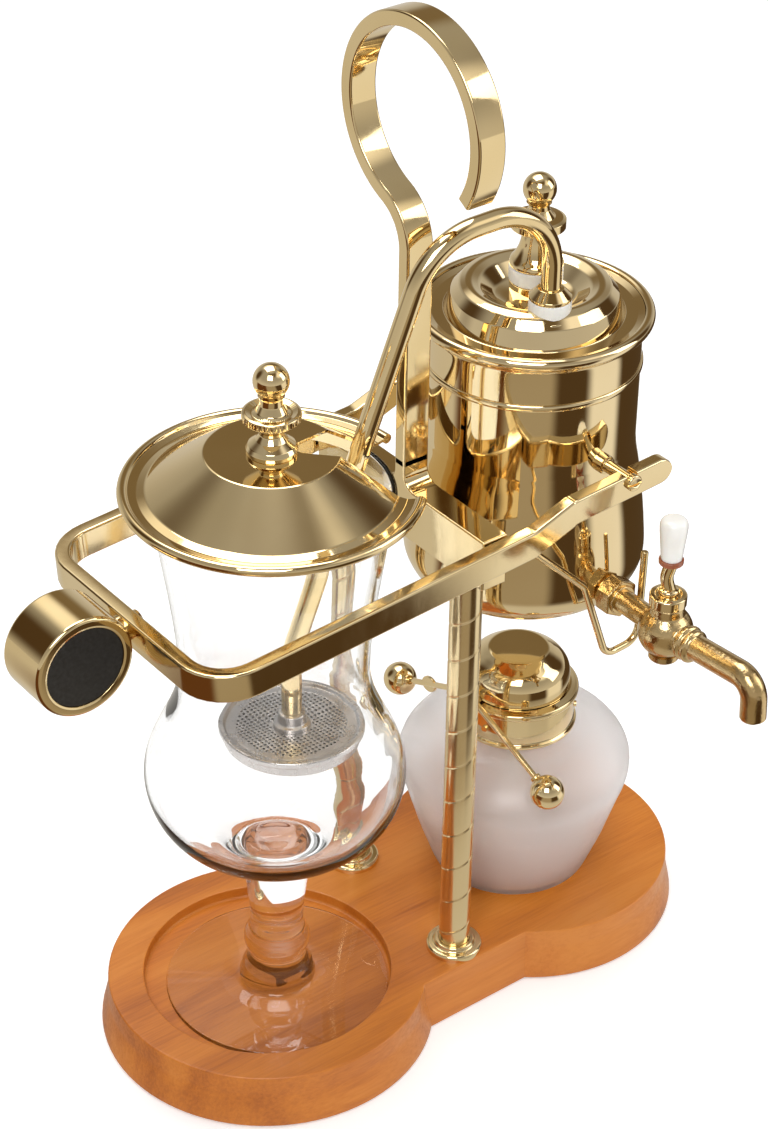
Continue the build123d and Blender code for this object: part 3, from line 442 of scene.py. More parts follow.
def woven(name, color, pitch):
    """Plain weave or braid, from two crossed waves, with painted shade in the hollows between the threads;
    pitch is in millimetres.
    """
    mat, tree, node = shader(name, color, Roughness=0.9, Sheen_Weight=0.3)
    cross = []
    for turn in (radians(45), radians(-45)):
        wave = tree.nodes.new("ShaderNodeTexWave")
        wave.inputs["Scale"].default_value = WAVES_PER_METRE / pitch
        wave.inputs["Distortion"].default_value = 0.6
        tree.links.new(place(tree, turn=(0, 0, turn)), wave.inputs["Vector"])
        cross.append(wave.outputs["Fac"])
    mix = tree.nodes.new("ShaderNodeMath")
    mix.operation = "MULTIPLY"
    tree.links.new(cross[0], mix.inputs[0])
    tree.links.new(cross[1], mix.inputs[1])
    # painted shade: the low parts of the weave, its hollows, are coloured darker
    dark = tuple(0.72 * c for c in color)
    tree.links.new(ramp(tree, mix.outputs[0], (0.1, dark), (0.6, color)), node.inputs["Base Color"])
    bump(tree, node, mix.outputs[0], 0.5, 0.2)
    return mat


def felt():
    """Dark green-black felt."""
    mat, tree, node = shader("felt", (0.05, 0.05, 0.05), Roughness=0.95, Sheen_Weight=0.4)
    fuzz = noise(tree, place(tree), 900, 5, 0.7)
    tree.links.new(ramp(tree, fuzz, (0.3, 0.02), (0.7, 0.075)), node.inputs["Base Color"])
    bump(tree, node, fuzz, 0.6, 0.3)
    return mat


def enamel():
    """Satin black medallion face with a fine stipple."""
    mat, tree, node = shader("black_enamel", (0.012, 0.012, 0.013), Roughness=0.28, Coat_Weight=0.5,
                             Coat_Roughness=0.08)
    speck = noise(tree, place(tree), 700, 3)
    tree.links.new(ramp(tree, speck, (0.3, 0.008), (0.7, 0.02)), node.inputs["Base Color"])
    bump(tree, node, speck, 0.08, 0.1)
    return mat


def spirit():
    """Clear fuel; its warm brown tint is a painted reflection of the wooden base under the bottle."""
    mat, tree, node = shader("spirit", (0.74, 0.62, 0.56), Roughness=0.12, IOR=1.36,
                             Transmission_Weight=0.55)
    drift = noise(tree, place(tree), 14, 2)
    # painted reflection: these warm brown tones stand in for the wooden base seen in the bottle
    tree.links.new(ramp(tree, drift, (0.3, (0.68, 0.45, 0.33)), (0.7, (0.76, 0.53, 0.40))),
                   node.inputs["Base Color"])
    return mat


WOOD = wood()
FELT_MAT = felt()
WHITE = ceramic("white_ceramic", (0.83, 0.80, 0.74), (0.90, 0.885, 0.85), 0.24)
SEAL = ceramic("white_silicone", (0.80, 0.78, 0.74), (0.88, 0.87, 0.84), 0.42)
BROWN = ceramic("brown_ferrule", (0.19, 0.045, 0.02), (0.34, 0.10, 0.045), 0.22)
CLEAR = glass("clear_glass", (0.985, 0.992, 0.992), 0.0, 0.035)
FROSTED = frosted()
CLOTH = woven("filter_cloth", (0.86, 0.82, 0.74), 0.9)
WICK = woven("braided_wick", (0.84, 0.79, 0.66), 1.2)
ENAMEL = enamel()
SPIRIT_WITH_PAINTED_REFLECTION = spirit()


def place_piece(obj, body, mat, *nodes, slot=None):
    """Material, body and the CAD nodes that the piece stands for."""
    obj.data.materials.clear()
    obj.data.materials.append(mat)
    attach(obj, body)
    if nodes:
        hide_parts(*nodes)
    return obj


# ------------------------------------------------------------------ camera and light
CAMERA_SPOT = (-0.56904, -0.71969, 0.81337)
CAMERA_ANGLES = (0.66295, 0.59035, 0.01562)  # yaw, pitch and roll in radians


def camera():
    """Camera at the photograph's viewpoint."""
    yaw, pitch, roll = CAMERA_ANGLES
    forward = Vector((sin(yaw) * cos(pitch), cos(yaw) * cos(pitch), -sin(pitch)))
    right = Vector((cos(yaw), -sin(yaw), 0))
    up = right.cross(forward)
    side = right * cos(roll) + up * sin(roll)
    top = up * cos(roll) - right * sin(roll)
    data = bpy.data.cameras.new("camera")
    data.lens = 89.83
    data.sensor_width = 36.0
    data.clip_start, data.clip_end = 0.05, 20
    obj = linked("camera", data)
    turn = Matrix((side, top, -forward)).transposed().to_4x4()
    obj.matrix_world = Matrix.Translation(CAMERA_SPOT) @ turn
    bpy.context.scene.camera = obj


def toned(name, verts, faces, tone):
    """Surface that glows with its own tone at each corner and is seen only in the metal."""
    mesh = bpy.data.meshes.new(name)
    mesh.from_pydata(verts, [], faces)
    paint = mesh.color_attributes.new("tone", "FLOAT_COLOR", "POINT")
    for spot, cell in zip(verts, paint.data):
        cell.color = (*tone(Vector(spot)), 1)
    mat, tree, node = shader(name, (0, 0, 0), Roughness=1.0, Specular_IOR_Level=0.0,
                             Emission_Strength=1.0)
    source = tree.nodes.new("ShaderNodeVertexColor")
    source.layer_name = "tone"
    tree.links.new(source.outputs["Color"], node.inputs["Emission Color"])
    mesh.materials.append(mat)
    obj = linked(name, mesh)
    obj.visible_camera = obj.visible_shadow = False
    obj.visible_diffuse = obj.visible_transmission = False


def smooth(t):
    """Soft step from 0 to 1."""
    t = min(max(t, 0.0), 1.0)
    return t * t * (3 - 2 * t)


def bearing(spot):
    """Angle of a spot about the boiler, from the camera's bearing."""
    a = degrees(atan2(spot.y - BOIL_Y * MM, spot.x - BOIL_X * MM)) - CAMERA_BEARING
    return (a + 180) % 360 - 180


CAMERA_BEARING = 231.7
BROWN_TONE, UMBER_TONE = Vector((0.13, 0.052, 0.016)), Vector((0.085, 0.052, 0.024))
SAND_TONE, PALE_TONE = Vector((0.40, 0.34, 0.25)), Vector((0.95, 0.93, 0.89))
FLOOR_TONE = Vector((0.66, 0.63, 0.57))
FLOOR_BANDS = [(-84, -28, BROWN_TONE), (-28, 22, SAND_TONE), (22, 60, UMBER_TONE), (60, 99, PALE_TONE),
               (99, 160, UMBER_TONE)]
# bearing and height in degrees, half widths in degrees, tone
SKY_LOBES = [(180, 36, 26, 13, Vector((0.22, 0.165, 0.095))), (118, 28, 16, 22, UMBER_TONE),
             (-100, 26, 16, 22, UMBER_TONE), (-150, 52, 15, 12, Vector((1.25, 1.2, 1.1))),
             (70, 50, 14, 14, Vector((1.15, 1.1, 1.02))), (20, 62, 22, 12, Vector((0.16, 0.115, 0.06)))]


def floor_tone(spot):
    """Dark and light sectors round the boiler, soft at their edges."""
    b = bearing(spot)
    reach = smooth(((spot.xy - Vector((BOIL_X, BOIL_Y)) * MM).length - 0.15) / 0.1)
    tone = FLOOR_TONE.copy()
    for low, high, color in FLOOR_BANDS:
        within = smooth((b - low) / 12 + 0.5) * smooth((high - b) / 12 + 0.5)
        tone += (color - FLOOR_TONE) * (within * reach)
    return tone


def sky_tone(spot):
    """Soft sky: lighter low down and overhead, with dark and bright lobes."""
    height = degrees(atan2(spot.z, spot.xy.length))
    level = 0.40 + 0.24 * (1 - smooth(height / 35)) + 0.2 * smooth((height - 60) / 30)
    tone = Vector((1.0, 0.965, 0.91)) * level
    for b, h, wide, tall, color in SKY_LOBES:
        turn = (bearing(spot) - b + 180) % 360 - 180
        away = sqrt((turn * cos(radians(height)) / wide) ** 2 + ((height - h) / tall) ** 2)
        tone += (color - tone) * (1 - smooth(away - 0.5))
    return tone


def reflected_room():
    """Floor disc and dome for the metal to reflect."""
    spokes, dome_rows, dome_r = 180, 31, 3

    def bands(rows):
        return [(i * spokes + k, i * spokes + (k + 1) % spokes, (i + 1) * spokes + (k + 1) % spokes,
                 (i + 1) * spokes + k) for i in range(rows) for k in range(spokes)]

    reach = [0.0, 0.1, 0.14, 0.18, 0.22, 0.26, 0.4, 0.8, 1.6, 3.0]
    spots = [(BOIL_X * MM + r * cos(TURN * k / spokes), BOIL_Y * MM + r * sin(TURN * k / spokes),
              0.0012) for r in reach for k in range(spokes)]
    toned("floor_tones", spots, bands(len(reach) - 1), floor_tone)
    spots = []
    for rise in (pi / 2 * i / dome_rows for i in range(dome_rows + 1)):
        spots += [(dome_r * cos(rise) * cos(TURN * k / spokes),
                   dome_r * cos(rise) * sin(TURN * k / spokes),
                   dome_r * sin(rise)) for k in range(spokes)]
    toned("sky_tones", spots, bands(dome_rows), sky_tone)


def soft_light(name, spot, aim, size, power, color=(1, 1, 1)):
    """Area light."""
    data = bpy.data.lights.new(name, "AREA")
    data.shape = "RECTANGLE"
    data.size, data.size_y = size
    data.energy = power
    data.color = color
    turn = (Vector(spot) - Vector(aim)).to_track_quat("Z", "Y").to_matrix().to_4x4()
    linked(name, data).matrix_world = Matrix.Translation(spot) @ turn


def studio():
    """Pale floor and dim world, soft boxes, and a room of soft tones for the metal to reflect."""
    world = bpy.data.worlds.new("studio")
    world.use_nodes = True
    back = world.node_tree.nodes["Background"]
    back.inputs["Color"].default_value = (0.97, 0.96, 0.95, 1)
    back.inputs["Strength"].default_value = 0.42
    bpy.context.scene.world = world
    bpy.context.scene.view_settings.view_transform = "Standard"
    mesh = bpy.data.meshes.new("floor")
    mesh.from_pydata([(-6, -6, 0), (6, -6, 0), (6, 6, 0), (-6, 6, 0)], [], [(0, 1, 2, 3)])
    floor = linked("floor", mesh)
    mat, _, node = shader("pale_floor", (0.9, 0.9, 0.9), Roughness=0.8)
    node.inputs["Emission Color"].default_value = (1, 1, 1, 1)
    node.inputs["Emission Strength"].default_value = 0.3
    mesh.materials.append(mat)
    soft_light("key", (-0.9, -0.9, 1.5), (0, 0, 0.15), (0.9, 0.9), 15)
    soft_light("fill", (1.1, -0.8, 0.9), (0, 0, 0.2), (0.7, 1.0), 5)
    soft_light("top", (0.1, 0.5, 1.6), (0, 0.2, 0), (1.0, 1.0), 12)
    reflected_room()


camera()
studio()


# ------------------------------------------------------------------ base
def bean(grow, z, steps=72):
    """Base outline grown by grow at a height: two arcs joined by straight waists."""
    waist = WAIST + grow * WAIST_FLARE / LEFT_FLARE
    left, right = LEFT_R + grow, RIGHT_R + grow * RIGHT_FLARE / LEFT_FLARE
    a = atan2(waist, sqrt(left * left - waist * waist))
    b = atan2(waist, -sqrt(right * right - waist * waist))
    points = []
    for k in range(steps + 1):
        t = a + (TURN - 2 * a) * k / steps
        points.append((LEFT_X + left * cos(t), left * sin(t), z))
    for k in range(steps + 1):
        t = -b + 2 * b * k / steps
        points.append((RIGHT_X + right * cos(t), right * sin(t), z))
    return points


def wooden_base():
    """Flared block with eased edges, a round recess and a plain underside."""
    levels = rounded([((-1.6, BASE_TOP), 0), ((-0.1, BASE_TOP), 1.4), ((0.35, 15.0), 14),
                      ((LEFT_FLARE - 0.2, 3.4), 3.0), ((LEFT_FLARE, FELT), 0.8),
                      ((LEFT_FLARE - 1.4, FELT), 0)], 6)
    loops = [bean(grow, z) for grow, z in levels]
    bm = bmesh.new()
    rows = [[bm.verts.new(Vector(p) * MM) for p in loop] for loop in loops]
    count = len(rows[0])
    for upper, lower in zip(rows, rows[1:]):
        for k in range(count):
            m = (k + 1) % count
            bm.faces.new((upper[k], upper[m], lower[m], lower[k]))
    bm.faces.new(rows[-1])
    cup = rounded([((RECESS_R + 0.9, BASE_TOP), 0), ((RECESS_R, BASE_TOP), 0.8),
                   ((RECESS_R, RECESS_Z), 1.2), ((RECESS_R - 3, RECESS_Z), 0)], 4)
    steps = 144
    wells = []
    for r, z in cup:
        wells.append([bm.verts.new(Vector((LEFT_X + r * cos(TURN * k / steps), r * sin(TURN * k / steps),
                                           z)) * MM) for k in range(steps)])
    for upper, lower in zip(wells, wells[1:]):
        for k in range(steps):
            m = (k + 1) % steps
            bm.faces.new((upper[k], upper[m], lower[m], lower[k]))
    bm.faces.new(wells[-1])
    rim = [bm.edges.get((row[k], row[(k + 1) % len(row)]))
           for row in (rows[0], wells[0]) for k in range(len(row))]
    bmesh.ops.triangle_fill(bm, use_beauty=True, edges=rim)
    bmesh.ops.remove_doubles(bm, verts=bm.verts, dist=1e-7)
    bmesh.ops.recalc_face_normals(bm, faces=bm.faces)
    return built("wooden_base", bm, 28)


place_piece(wooden_base(), "stand", WOOD, "wood_base", slot="wood")


# ------------------------------------------------------------------ columns and handle
def scored_column(name, y):
    """Round column with one fine scored line winding up it."""
    pitch, segs, depth = 17.4, 64, 0.28
    low, high = BASE_TOP, CROSS_Z0
    cuts = [(0.0, 0), (0.42, 0.35), (0.72, 1.0), (0.95, 1.0), (1.25, 0.35), (1.67, 0), (5.6, 0), (9.6, 0),
            (13.6, 0)]
    turns = int((high - low) / pitch) + 3
    rows = [(pitch * turn + rise, cut) for turn in range(-1, turns) for rise, cut in cuts]
    verts, faces = [], []
    for i in range(segs + 1):
        a = TURN * i / segs
        for rise, cut in rows:
            z = min(max(low + rise + pitch * i / segs, low), high)
            r = COL_R - depth * cut
            verts.append((COL_X + r * cos(a), y + r * sin(a), z))
    size = len(rows)
    for i in range(segs):
        for k in range(size - 1):
            quad = (i * size + k, (i + 1) * size + k, (i + 1) * size + k + 1, i * size + k + 1)
            if max(verts[q][2] for q in quad) - min(verts[q][2] for q in quad) > 1e-4:
                faces.append(quad)
    return make(name, verts, faces, crisp=50)


def collar(name, y):
    """Rounded flange at a column foot."""
    z = BASE_TOP
    bore = COL_R + 0.05
    line = rounded(risen(z, (bore, 0, 0), (11.7, 0, 0), (11.75, 2.6, 1.8), (8.6, 2.9, 1.0),
                         (8.2, 4.5, 0.7), (bore, 4.6, 0.3), (bore, 0, 0)), 6)
    return lathe(name, line, (COL_X, y))


for tag, y in (("front", -COL_Y), ("rear", COL_Y)):
    place_piece(scored_column(f"scored_column_{tag}", y), "stand", ROD_GOLD, f"column_{tag}", slot="gold")
    place_piece(collar(f"foot_collar_{tag}", y), "stand", GOLD, f"column_collar_{tag}", slot="gold")


def handle():
    """Crossbar with a webbed stem, and the strap that bends into the hook."""
    half = STRAP_T / 2
    seam = CROSS_Z1 + WEB
    corner = rounded([((half, seam), 0), ((half, CROSS_Z1), WEB), ((CROSS_HALF, CROSS_Z1), 0.0)],
                     10)[1:-1]
    right = [(p[0], p[1]) for p in corner]
    bar_ends = [(CROSS_HALF, CROSS_Z1), (CROSS_HALF, CROSS_Z0), (-CROSS_HALF, CROSS_Z0),
                (-CROSS_HALF, CROSS_Z1)]
    left = [(-a, b) for a, b in reversed(right)]
    outline = [(half, seam)] + right + bar_ends + left + [(-half, seam)]
    x0, x1 = COL_X - STRAP_W / 2, COL_X + STRAP_W / 2
    bar = prism("crossbar", outline, x0, x1, "X", bevel=0.9)
    lean, reach = radians(HOOK_LEAN), HOOK_R + HOOK_BACK_R
    middle = (HOOK_BACK_R + reach * cos(lean), STEM_TOP + reach * sin(lean))
    route = [Vector((COL_X, 0,
                     CROSS_Z1 + WEB - 3 + (STEM_TOP - CROSS_Z1 - WEB + 3) * k / 6)) for k in range(6)]
    turns = 16
    for k in range(turns):
        a = pi + (lean - pi) * k / turns
        route.append(Vector((COL_X, HOOK_BACK_R + HOOK_BACK_R * cos(a), STEM_TOP + HOOK_BACK_R * sin(a))))
    start, end, turns = lean - pi, radians(HOOK_TIP), 90
    for k in range(turns + 1):
        a = start + (end - start) * k / turns
        route.append(Vector((COL_X, middle[0] + HOOK_R * cos(a), middle[1] + HOOK_R * sin(a))))
    strap = swept("hook", route, ring_section(STRAP_T, STRAP_W, 0.9), width=(1, 0, 0))
    return joined("carrying_handle", bar, strap)


place_piece(handle(), "stand", GOLD, "carry_handle", slot="gold")


# ------------------------------------------------------------------ beam
NOSE = [0.0, 0.5, 1.2, 2.2, 3.6, 5.5]  # distances from an arm's tip at which its rounded end is drawn
ARM_H, HOOK_SLOT_R = 11.0, 2.66


def ring_route():
    """Centre line of the bar from the front arm's tip, round the glass, to the rear arm's tip."""
    w, mid = RING_W - BAR_T / 2, PIVOT_Z
    high = mid + ARM_RISE + 0.5
    corners = [((ARM_END, -w, high), 0), ((JOG_X1, -w, high), 12), ((JOG_X0, -w, mid), 12),
               ((RING_X0 + BAR_T / 2, -w, mid), RING_R - 3), ((RING_X0 + BAR_T / 2, w, mid), RING_R - 3),
               ((JOG_X0, w, mid), 12), ((JOG_X1, w, high), 12), ((ARM_END, w, high), 0)]
    route = rounded(corners, 8)
    front = [Vector((ARM_END - d, -w, high)) for d in NOSE]
    rear = [Vector((ARM_END - d, w, high)) for d in reversed(NOSE)]
    return front + route[1:-1] + rear


def beam_bar():
    """Flat bar with rounded arm tips and open notches for the trunnions."""
    route = ring_route()
    tips = dict(enumerate(NOSE))
    count = len(route)

    def taper(t):
        i = round(t * (count - 1))
        d = tips.get(i, tips.get(count - 1 - i))
        if d is None:
            straight = route[i].x > JOG_X1 - 1
            return (1, ARM_H / BAR_H if straight else 1)
        size = NOSE[-1]
        return (1, max(sqrt(max(size * size - (size - d) ** 2, 0)) / (BAR_H / 2), 0.08))

    bar = swept("beam_bar", route, ring_section(BAR_T, BAR_H, 1.1), width=(0, 0, 1), pose=LEVEL,
                taper=taper)
    cutters = []
    notch = LEVEL.inverted() @ Vector((BOIL_X, 0, BOIL_Z))
    for side in (-1, 1):
        y, r = side * (RING_W - BAR_T / 2), HOOK_SLOT_R
        line = [(notch.x - r, notch.z + 12), (notch.x - r, notch.z)]
        line += [(notch.x - r * cos(pi * k / 12), notch.z - r * sin(pi * k / 12)) for k in range(1, 12)]
        line += [(notch.x + r, notch.z), (notch.x + r, notch.z + 12)]
        cutters.append(prism("cutter", line, y - 6, y + 6, "Y", bevel=0, pose=LEVEL))
    return carve(bar, *cutters)


place_piece(beam_bar(), "beam", BAR_GOLD, "beam_ring", slot="gold")


def weight():
    """Drum with rounded rims and a sunk seat in its front face."""
    y = WEIGHT_L / 2
    line = rounded([((0, -y + 1.6), 0), ((MEDAL_R, -y + 1.6), 0), ((MEDAL_R, -y + 0.3), 0.25),
                    ((MEDAL_R + 0.9, -y), 0.3), ((WEIGHT_R, -y), 2.6), ((WEIGHT_R, y), 1.6), ((0, y), 0)],
                    7)
    return lathe("drum_weight", line, (WEIGHT_X, PIVOT_Z), "Y", pose=LEVEL, segs=128)


def medal():
    """Black disc with one raised ring near its edge."""
    y, r = -WEIGHT_L / 2, MEDAL_R - 0.05
    line = [(0, y + 0.75), (r - 2.2, y + 0.75), (r - 1.6, y + 0.7), (r - 0.2, y + 0.7), (r, y + 0.9),
            (r, y + 1.6), (0, y + 1.6)]
    return lathe("plain_medallion", line, (WEIGHT_X, PIVOT_Z), "Y", pose=LEVEL, segs=96)


def medal_ring(name, r, width):
    """Fine gold line on the medallion."""
    y = -WEIGHT_L / 2 + 0.72
    line = rounded(sharp((r, y), (r + width, y), (r + width, y + 0.3), (r, y + 0.3), r=0.04), 2,
                   loop=True)
    return lathe(name, line, (WEIGHT_X, PIVOT_Z), "Y", pose=LEVEL, loop=True)


place_piece(weight(), "beam", GOLD, "counterweight", slot="gold")
place_piece(medal(), "beam", ENAMEL, "medallion", slot="medallion")
place_piece(medal_ring("medallion_line", MEDAL_R - 1.7, 0.35), "beam", GOLD, slot="gold")

WIRE = [(19.0, 227.0), (46.3, 196.5), (57.5, 157.5), (74.3, 157.5), (77.6, 199.0)]


def wire():
    """Bent wire under the tap pipe."""
    y = -RING_W + BAR_T / 2
    route = rounded([((x, y, z), 7.0) for x, z in WIRE], 10)
    end = (route[-1] - route[-2]).normalized()
    route[-1:] = [route[-1] - end * 0.6, route[-1] - end * 0.2, route[-1]]
    count = len(route)

    def taper(t):
        i = count - 1 - round(t * (count - 1))
        size = {0: 0.55, 1: 0.88}.get(i, 1.0)
        return (size, size)
    return swept("bent_wire", route, circle(1.5, 20), pose=LEVEL, taper=taper)


place_piece(wire(), "beam", GOLD, "tap_cradle_wire", slot="gold")


# ------------------------------------------------------------------ boiler
def pot():
    """Spun pot: full rounded foot, long taper, one bead and a flared, rolled rim; wall and floor."""
    z, wall = BOIL_BOTTOM, 1.2
    side = [(45.4, z + 4.2), (48.1, z + 9.4), (FULL_R, z + 14.5), (48.5, z + 23), (47.1, z + 36),
            (45.0, z + 50), (43.2, z + 60), (BOIL_R, z + 67)]
    line = [Vector((0, z + 0.4)), Vector((34, z))] + flowing([(38.0, z), (41.6, z + 1.0)] + side, 6)
    for k in range(-6, 7):
        line.append(Vector((BOIL_R + 0.9 * cos(k * pi / 12), BEAD_Z + 1.5 * sin(k * pi / 12))))
    line += flowing([(BOIL_R, BEAD_Z + 3), (BOIL_R, RIM_Z - 6.4), (BOIL_R + 0.3, RIM_Z - 4.6),
                     (BOIL_R + 1.3, RIM_Z - 3.2), (RIM_R + 0.4, RIM_Z - RIM_ROLL)], 5)[:-1]
    for k in range(15):
        a = radians(-80 + 206 * k / 14)
        line.append(Vector((RIM_R + RIM_ROLL * cos(a), RIM_Z + RIM_ROLL * sin(a))))
    line += rounded([((RIM_R - 1.7, RIM_Z - 1.3), 0), ((BOIL_R - 2.2, RIM_Z - 1.3), 0.3),
                     ((BOIL_R - wall, RIM_Z - 6), 2), ((BOIL_R - wall, z + 67), 0)], 5)
    line += [Vector((r - wall, h)) for r, h in reversed(side[:-1])]
    line += [Vector((41.0, z + 2.2)), Vector((34, z + wall)), Vector((0, z + wall + 0.4))]
    return lathe("spun_pot", line, (BOIL_X, 0), pose=HANG, segs=160)


def pot_lid():
    """Spun lid with the tube seat and the filler neck."""
    t, z = 1.0, RIM_Z
    top = rounded([((RIM_R - 1.66, z + 0.95), 0), ((40.0, z + 0.1), 1.5), ((35.3, z + 0.1), 0.7),
                   ((32.7, z + 7.6), 1.6), ((29.4, z + 11.2), 3.0), ((CREST_R, CREST_Z), 4.0),
                   ((21.6, z + 10.9), 5.0), ((16.0, z + 6.0), 6.0), ((11.8, z + 4.3), 3.0)], 7)
    top.append(Vector((8.0, z + 4.2)))
    under = [Vector((max(p[0] - 0.2, 7.6), p[1] - t)) for p in reversed(top[1:])]
    under.append(Vector((RIM_R - 1.66, z - 1.1)))
    sheet = lathe("lid_sheet", top + under, (BOIL_X, 0), pose=HANG, segs=160, loop=True)
    seat = lathe("seat",
                 rounded([((TUBE_R, z + 3), 0), ((9.9, z + 3), 0), ((9.9, SEAL_Z + 0.5), 0.9),
                          ((8.4, SEAL_Z + 0.5), 0.2), ((8.4, SEAL_Z), 0), ((TUBE_R, SEAL_Z), 0)], 5),
                          (TUBE_X, TUBE_Y), pose=HANG)
    neck = lathe("neck",
                 rounded([((7.45, z + 3.4), 0), ((10.3, z + 3.4), 0), ((10.3, FILL_Z), 0.5),
                          ((7.45, FILL_Z), 0.2)], 4, loop=True), (BOIL_X, 0), pose=HANG, loop=True)
    return joined("spun_lid", sheet, seat, neck)


def gasket(name, at, z0, z1, r, bore):
    """Soft ring with eased edges."""
    line = rounded(sharp((bore, z0), (r, z0), (r, z1), (bore, z1), r=0.7), 4, loop=True)
    return lathe(name, line, at, pose=HANG, loop=True)


def cap_nut():
    """Coned nut on the tube."""
    z = SEAL_Z + 7.2
    line = rounded(risen(z, (TUBE_R + 0.02, 0, 0), (8.3, 0, 0.3), (8.3, 1.3, 0.5), (5.1, 4.5, 0.4),
                         (TUBE_R + 0.02, 4.7, 0)), 4)
    return lathe("cap_nut", line, (TUBE_X, TUBE_Y), pose=HANG)


def ball_end(r, mid, start):
    """Outline of a ball from the angle where it meets its neck to the top."""
    line = [Vector((r * sin(a), mid - r * cos(a)))
            for a in (start + (pi - start) * k / 20 for k in range(20))]
    return line + [Vector((0, mid + r))]


def milled(low, high, teeth, depth):
    """Milled edge between two heights."""
    def wave(a, r, h):
        return depth * cos(teeth * a) if low < h < high else 0.0
    return wave


def knob():
    """Filler knob: bell, milled disc, neck and ball."""
    z = FILL_Z + 6.3
    line = rounded(risen(z, (0, -12, 0), (7.3, -12, 0.8), (7.3, 0.06, 0), (10.6, 0.06, 0.5),
                         (10.5, 1.5, 0.8)), 4)
    line += flowing(risen(z, (10.1, 2.4), (8.6, 4.4), (7.1, 7.6), (6.2, 11.2), (5.5, 13.4), (5.3, 14.4)),
                    4)
    line += rounded(risen(z, (5.4, 14.9, 0), (9.6, 15.4, 0.5), (10.7, 16.1, 0.3), (10.7, 19.4, 0.3),
                          (9.4, 20.1, 0.5), (6.4, 20.3, 0.6), (5.4, 21.6, 0.8), (4.1, 23.4, 1.5),
                          (4.0, 25.4, 0.8), (4.9, 26.2, 0.4)), 4)
    r, mid = 6.5, z + 31.6
    line += ball_end(r, mid, acos((mid - z - 26.4) / r))
    return lathe("filler_cap", line, (BOIL_X, 0), pose=HANG, segs=144,
                 wave=milled(z + 16.3, z + 19.2, 48, 0.18))


def journal(name, side):
    """Trunnion with a threaded root, a shoulder and a slotted end."""
    y0 = BOIL_R
    line = [((0, y0 - 3), 0), ((3.9, y0 - 3), 0)]
    for k in range(5):
        y = y0 + 0.4 + 0.8 * k
        line += [((3.9, y), 0), ((3.45, y + 0.4), 0)]
    line += [((3.9, y0 + 4.4), 0.2), ((2.6, y0 + 4.6), 0.2), ((2.6, 59.6), 0.3), ((2.6, 60.4), 0),
             ((3.4, 60.6), 0.3), ((3.4, 63.4), 0.6), ((0, 63.9), 0)]
    line = [Vector((r, side * y)) for r, y in rounded(line, 3)]
    pin = lathe(name, line, (BOIL_X, BOIL_Z), "Y", pose=HANG, segs=48)
    across, half = 5, 0.45
    slot = [(BOIL_X + a * across, BOIL_Z + b * half) for a, b in ((-1, -1), (1, -1), (1, 1), (-1, 1))]
    return carve(pin, prism("cutter", slot, side * 62.7, side * 66, "Y", bevel=0, pose=HANG))


place_piece(pot(), "boiler", POT_GOLD, "boiler_body", slot="gold")
place_piece(pot_lid(), "boiler", POT_GOLD, "boiler_lid", slot="gold")
place_piece(gasket("tube_seal", (TUBE_X, TUBE_Y), SEAL_Z, SEAL_Z + 7.2, 8.3, TUBE_R), "boiler", SEAL,
            "tube_gasket", slot="seal")
place_piece(gasket("filler_seal", (BOIL_X, 0), FILL_Z, FILL_Z + 6.3, 10.6, 7.4), "boiler", SEAL,
            "filler_gasket", slot="seal")
place_piece(cap_nut(), "boiler", GOLD, "tube_nut", slot="gold")
place_piece(knob(), "filler", GOLD, "filler_knob", slot="gold")
for tag, side in (("front", -1), ("rear", 1)):
    place_piece(journal(f"journal_{tag}", side), "boiler", GOLD, f"trunnion_{tag}", slot="gold")


# ------------------------------------------------------------------ tap
def hex_nut():
    """Chamfered hexagon with a round washer face."""
    corner_r = 8.5
    line = [(TAP_X + corner_r * cos(pi / 6 + k * pi / 3),
             TAP_Z + corner_r * sin(pi / 6 + k * pi / 3)) for k in range(6)]
    nut = prism("nut", line, -56.8, -49.6, "Y", bevel=0.7, pose=HANG)
    washer = lathe("washer",
                   rounded([((0, -47.6), 0), ((6.6, -47.6), 0), ((6.6, -49.8), 0.3), ((0, -49.8), 0)], 3),
                   (TAP_X, TAP_Z), "Y", pose=HANG)
    nose = lathe("nose",
                 rounded([((0, -56.6), 0), ((6.2, -56.6), 0), ((6.2, -57.9), 0.5), ((0, -57.9), 0)], 3),
                 (TAP_X, TAP_Z), "Y", pose=HANG)
    return joined("tap_hex_nut", nut, washer, nose)


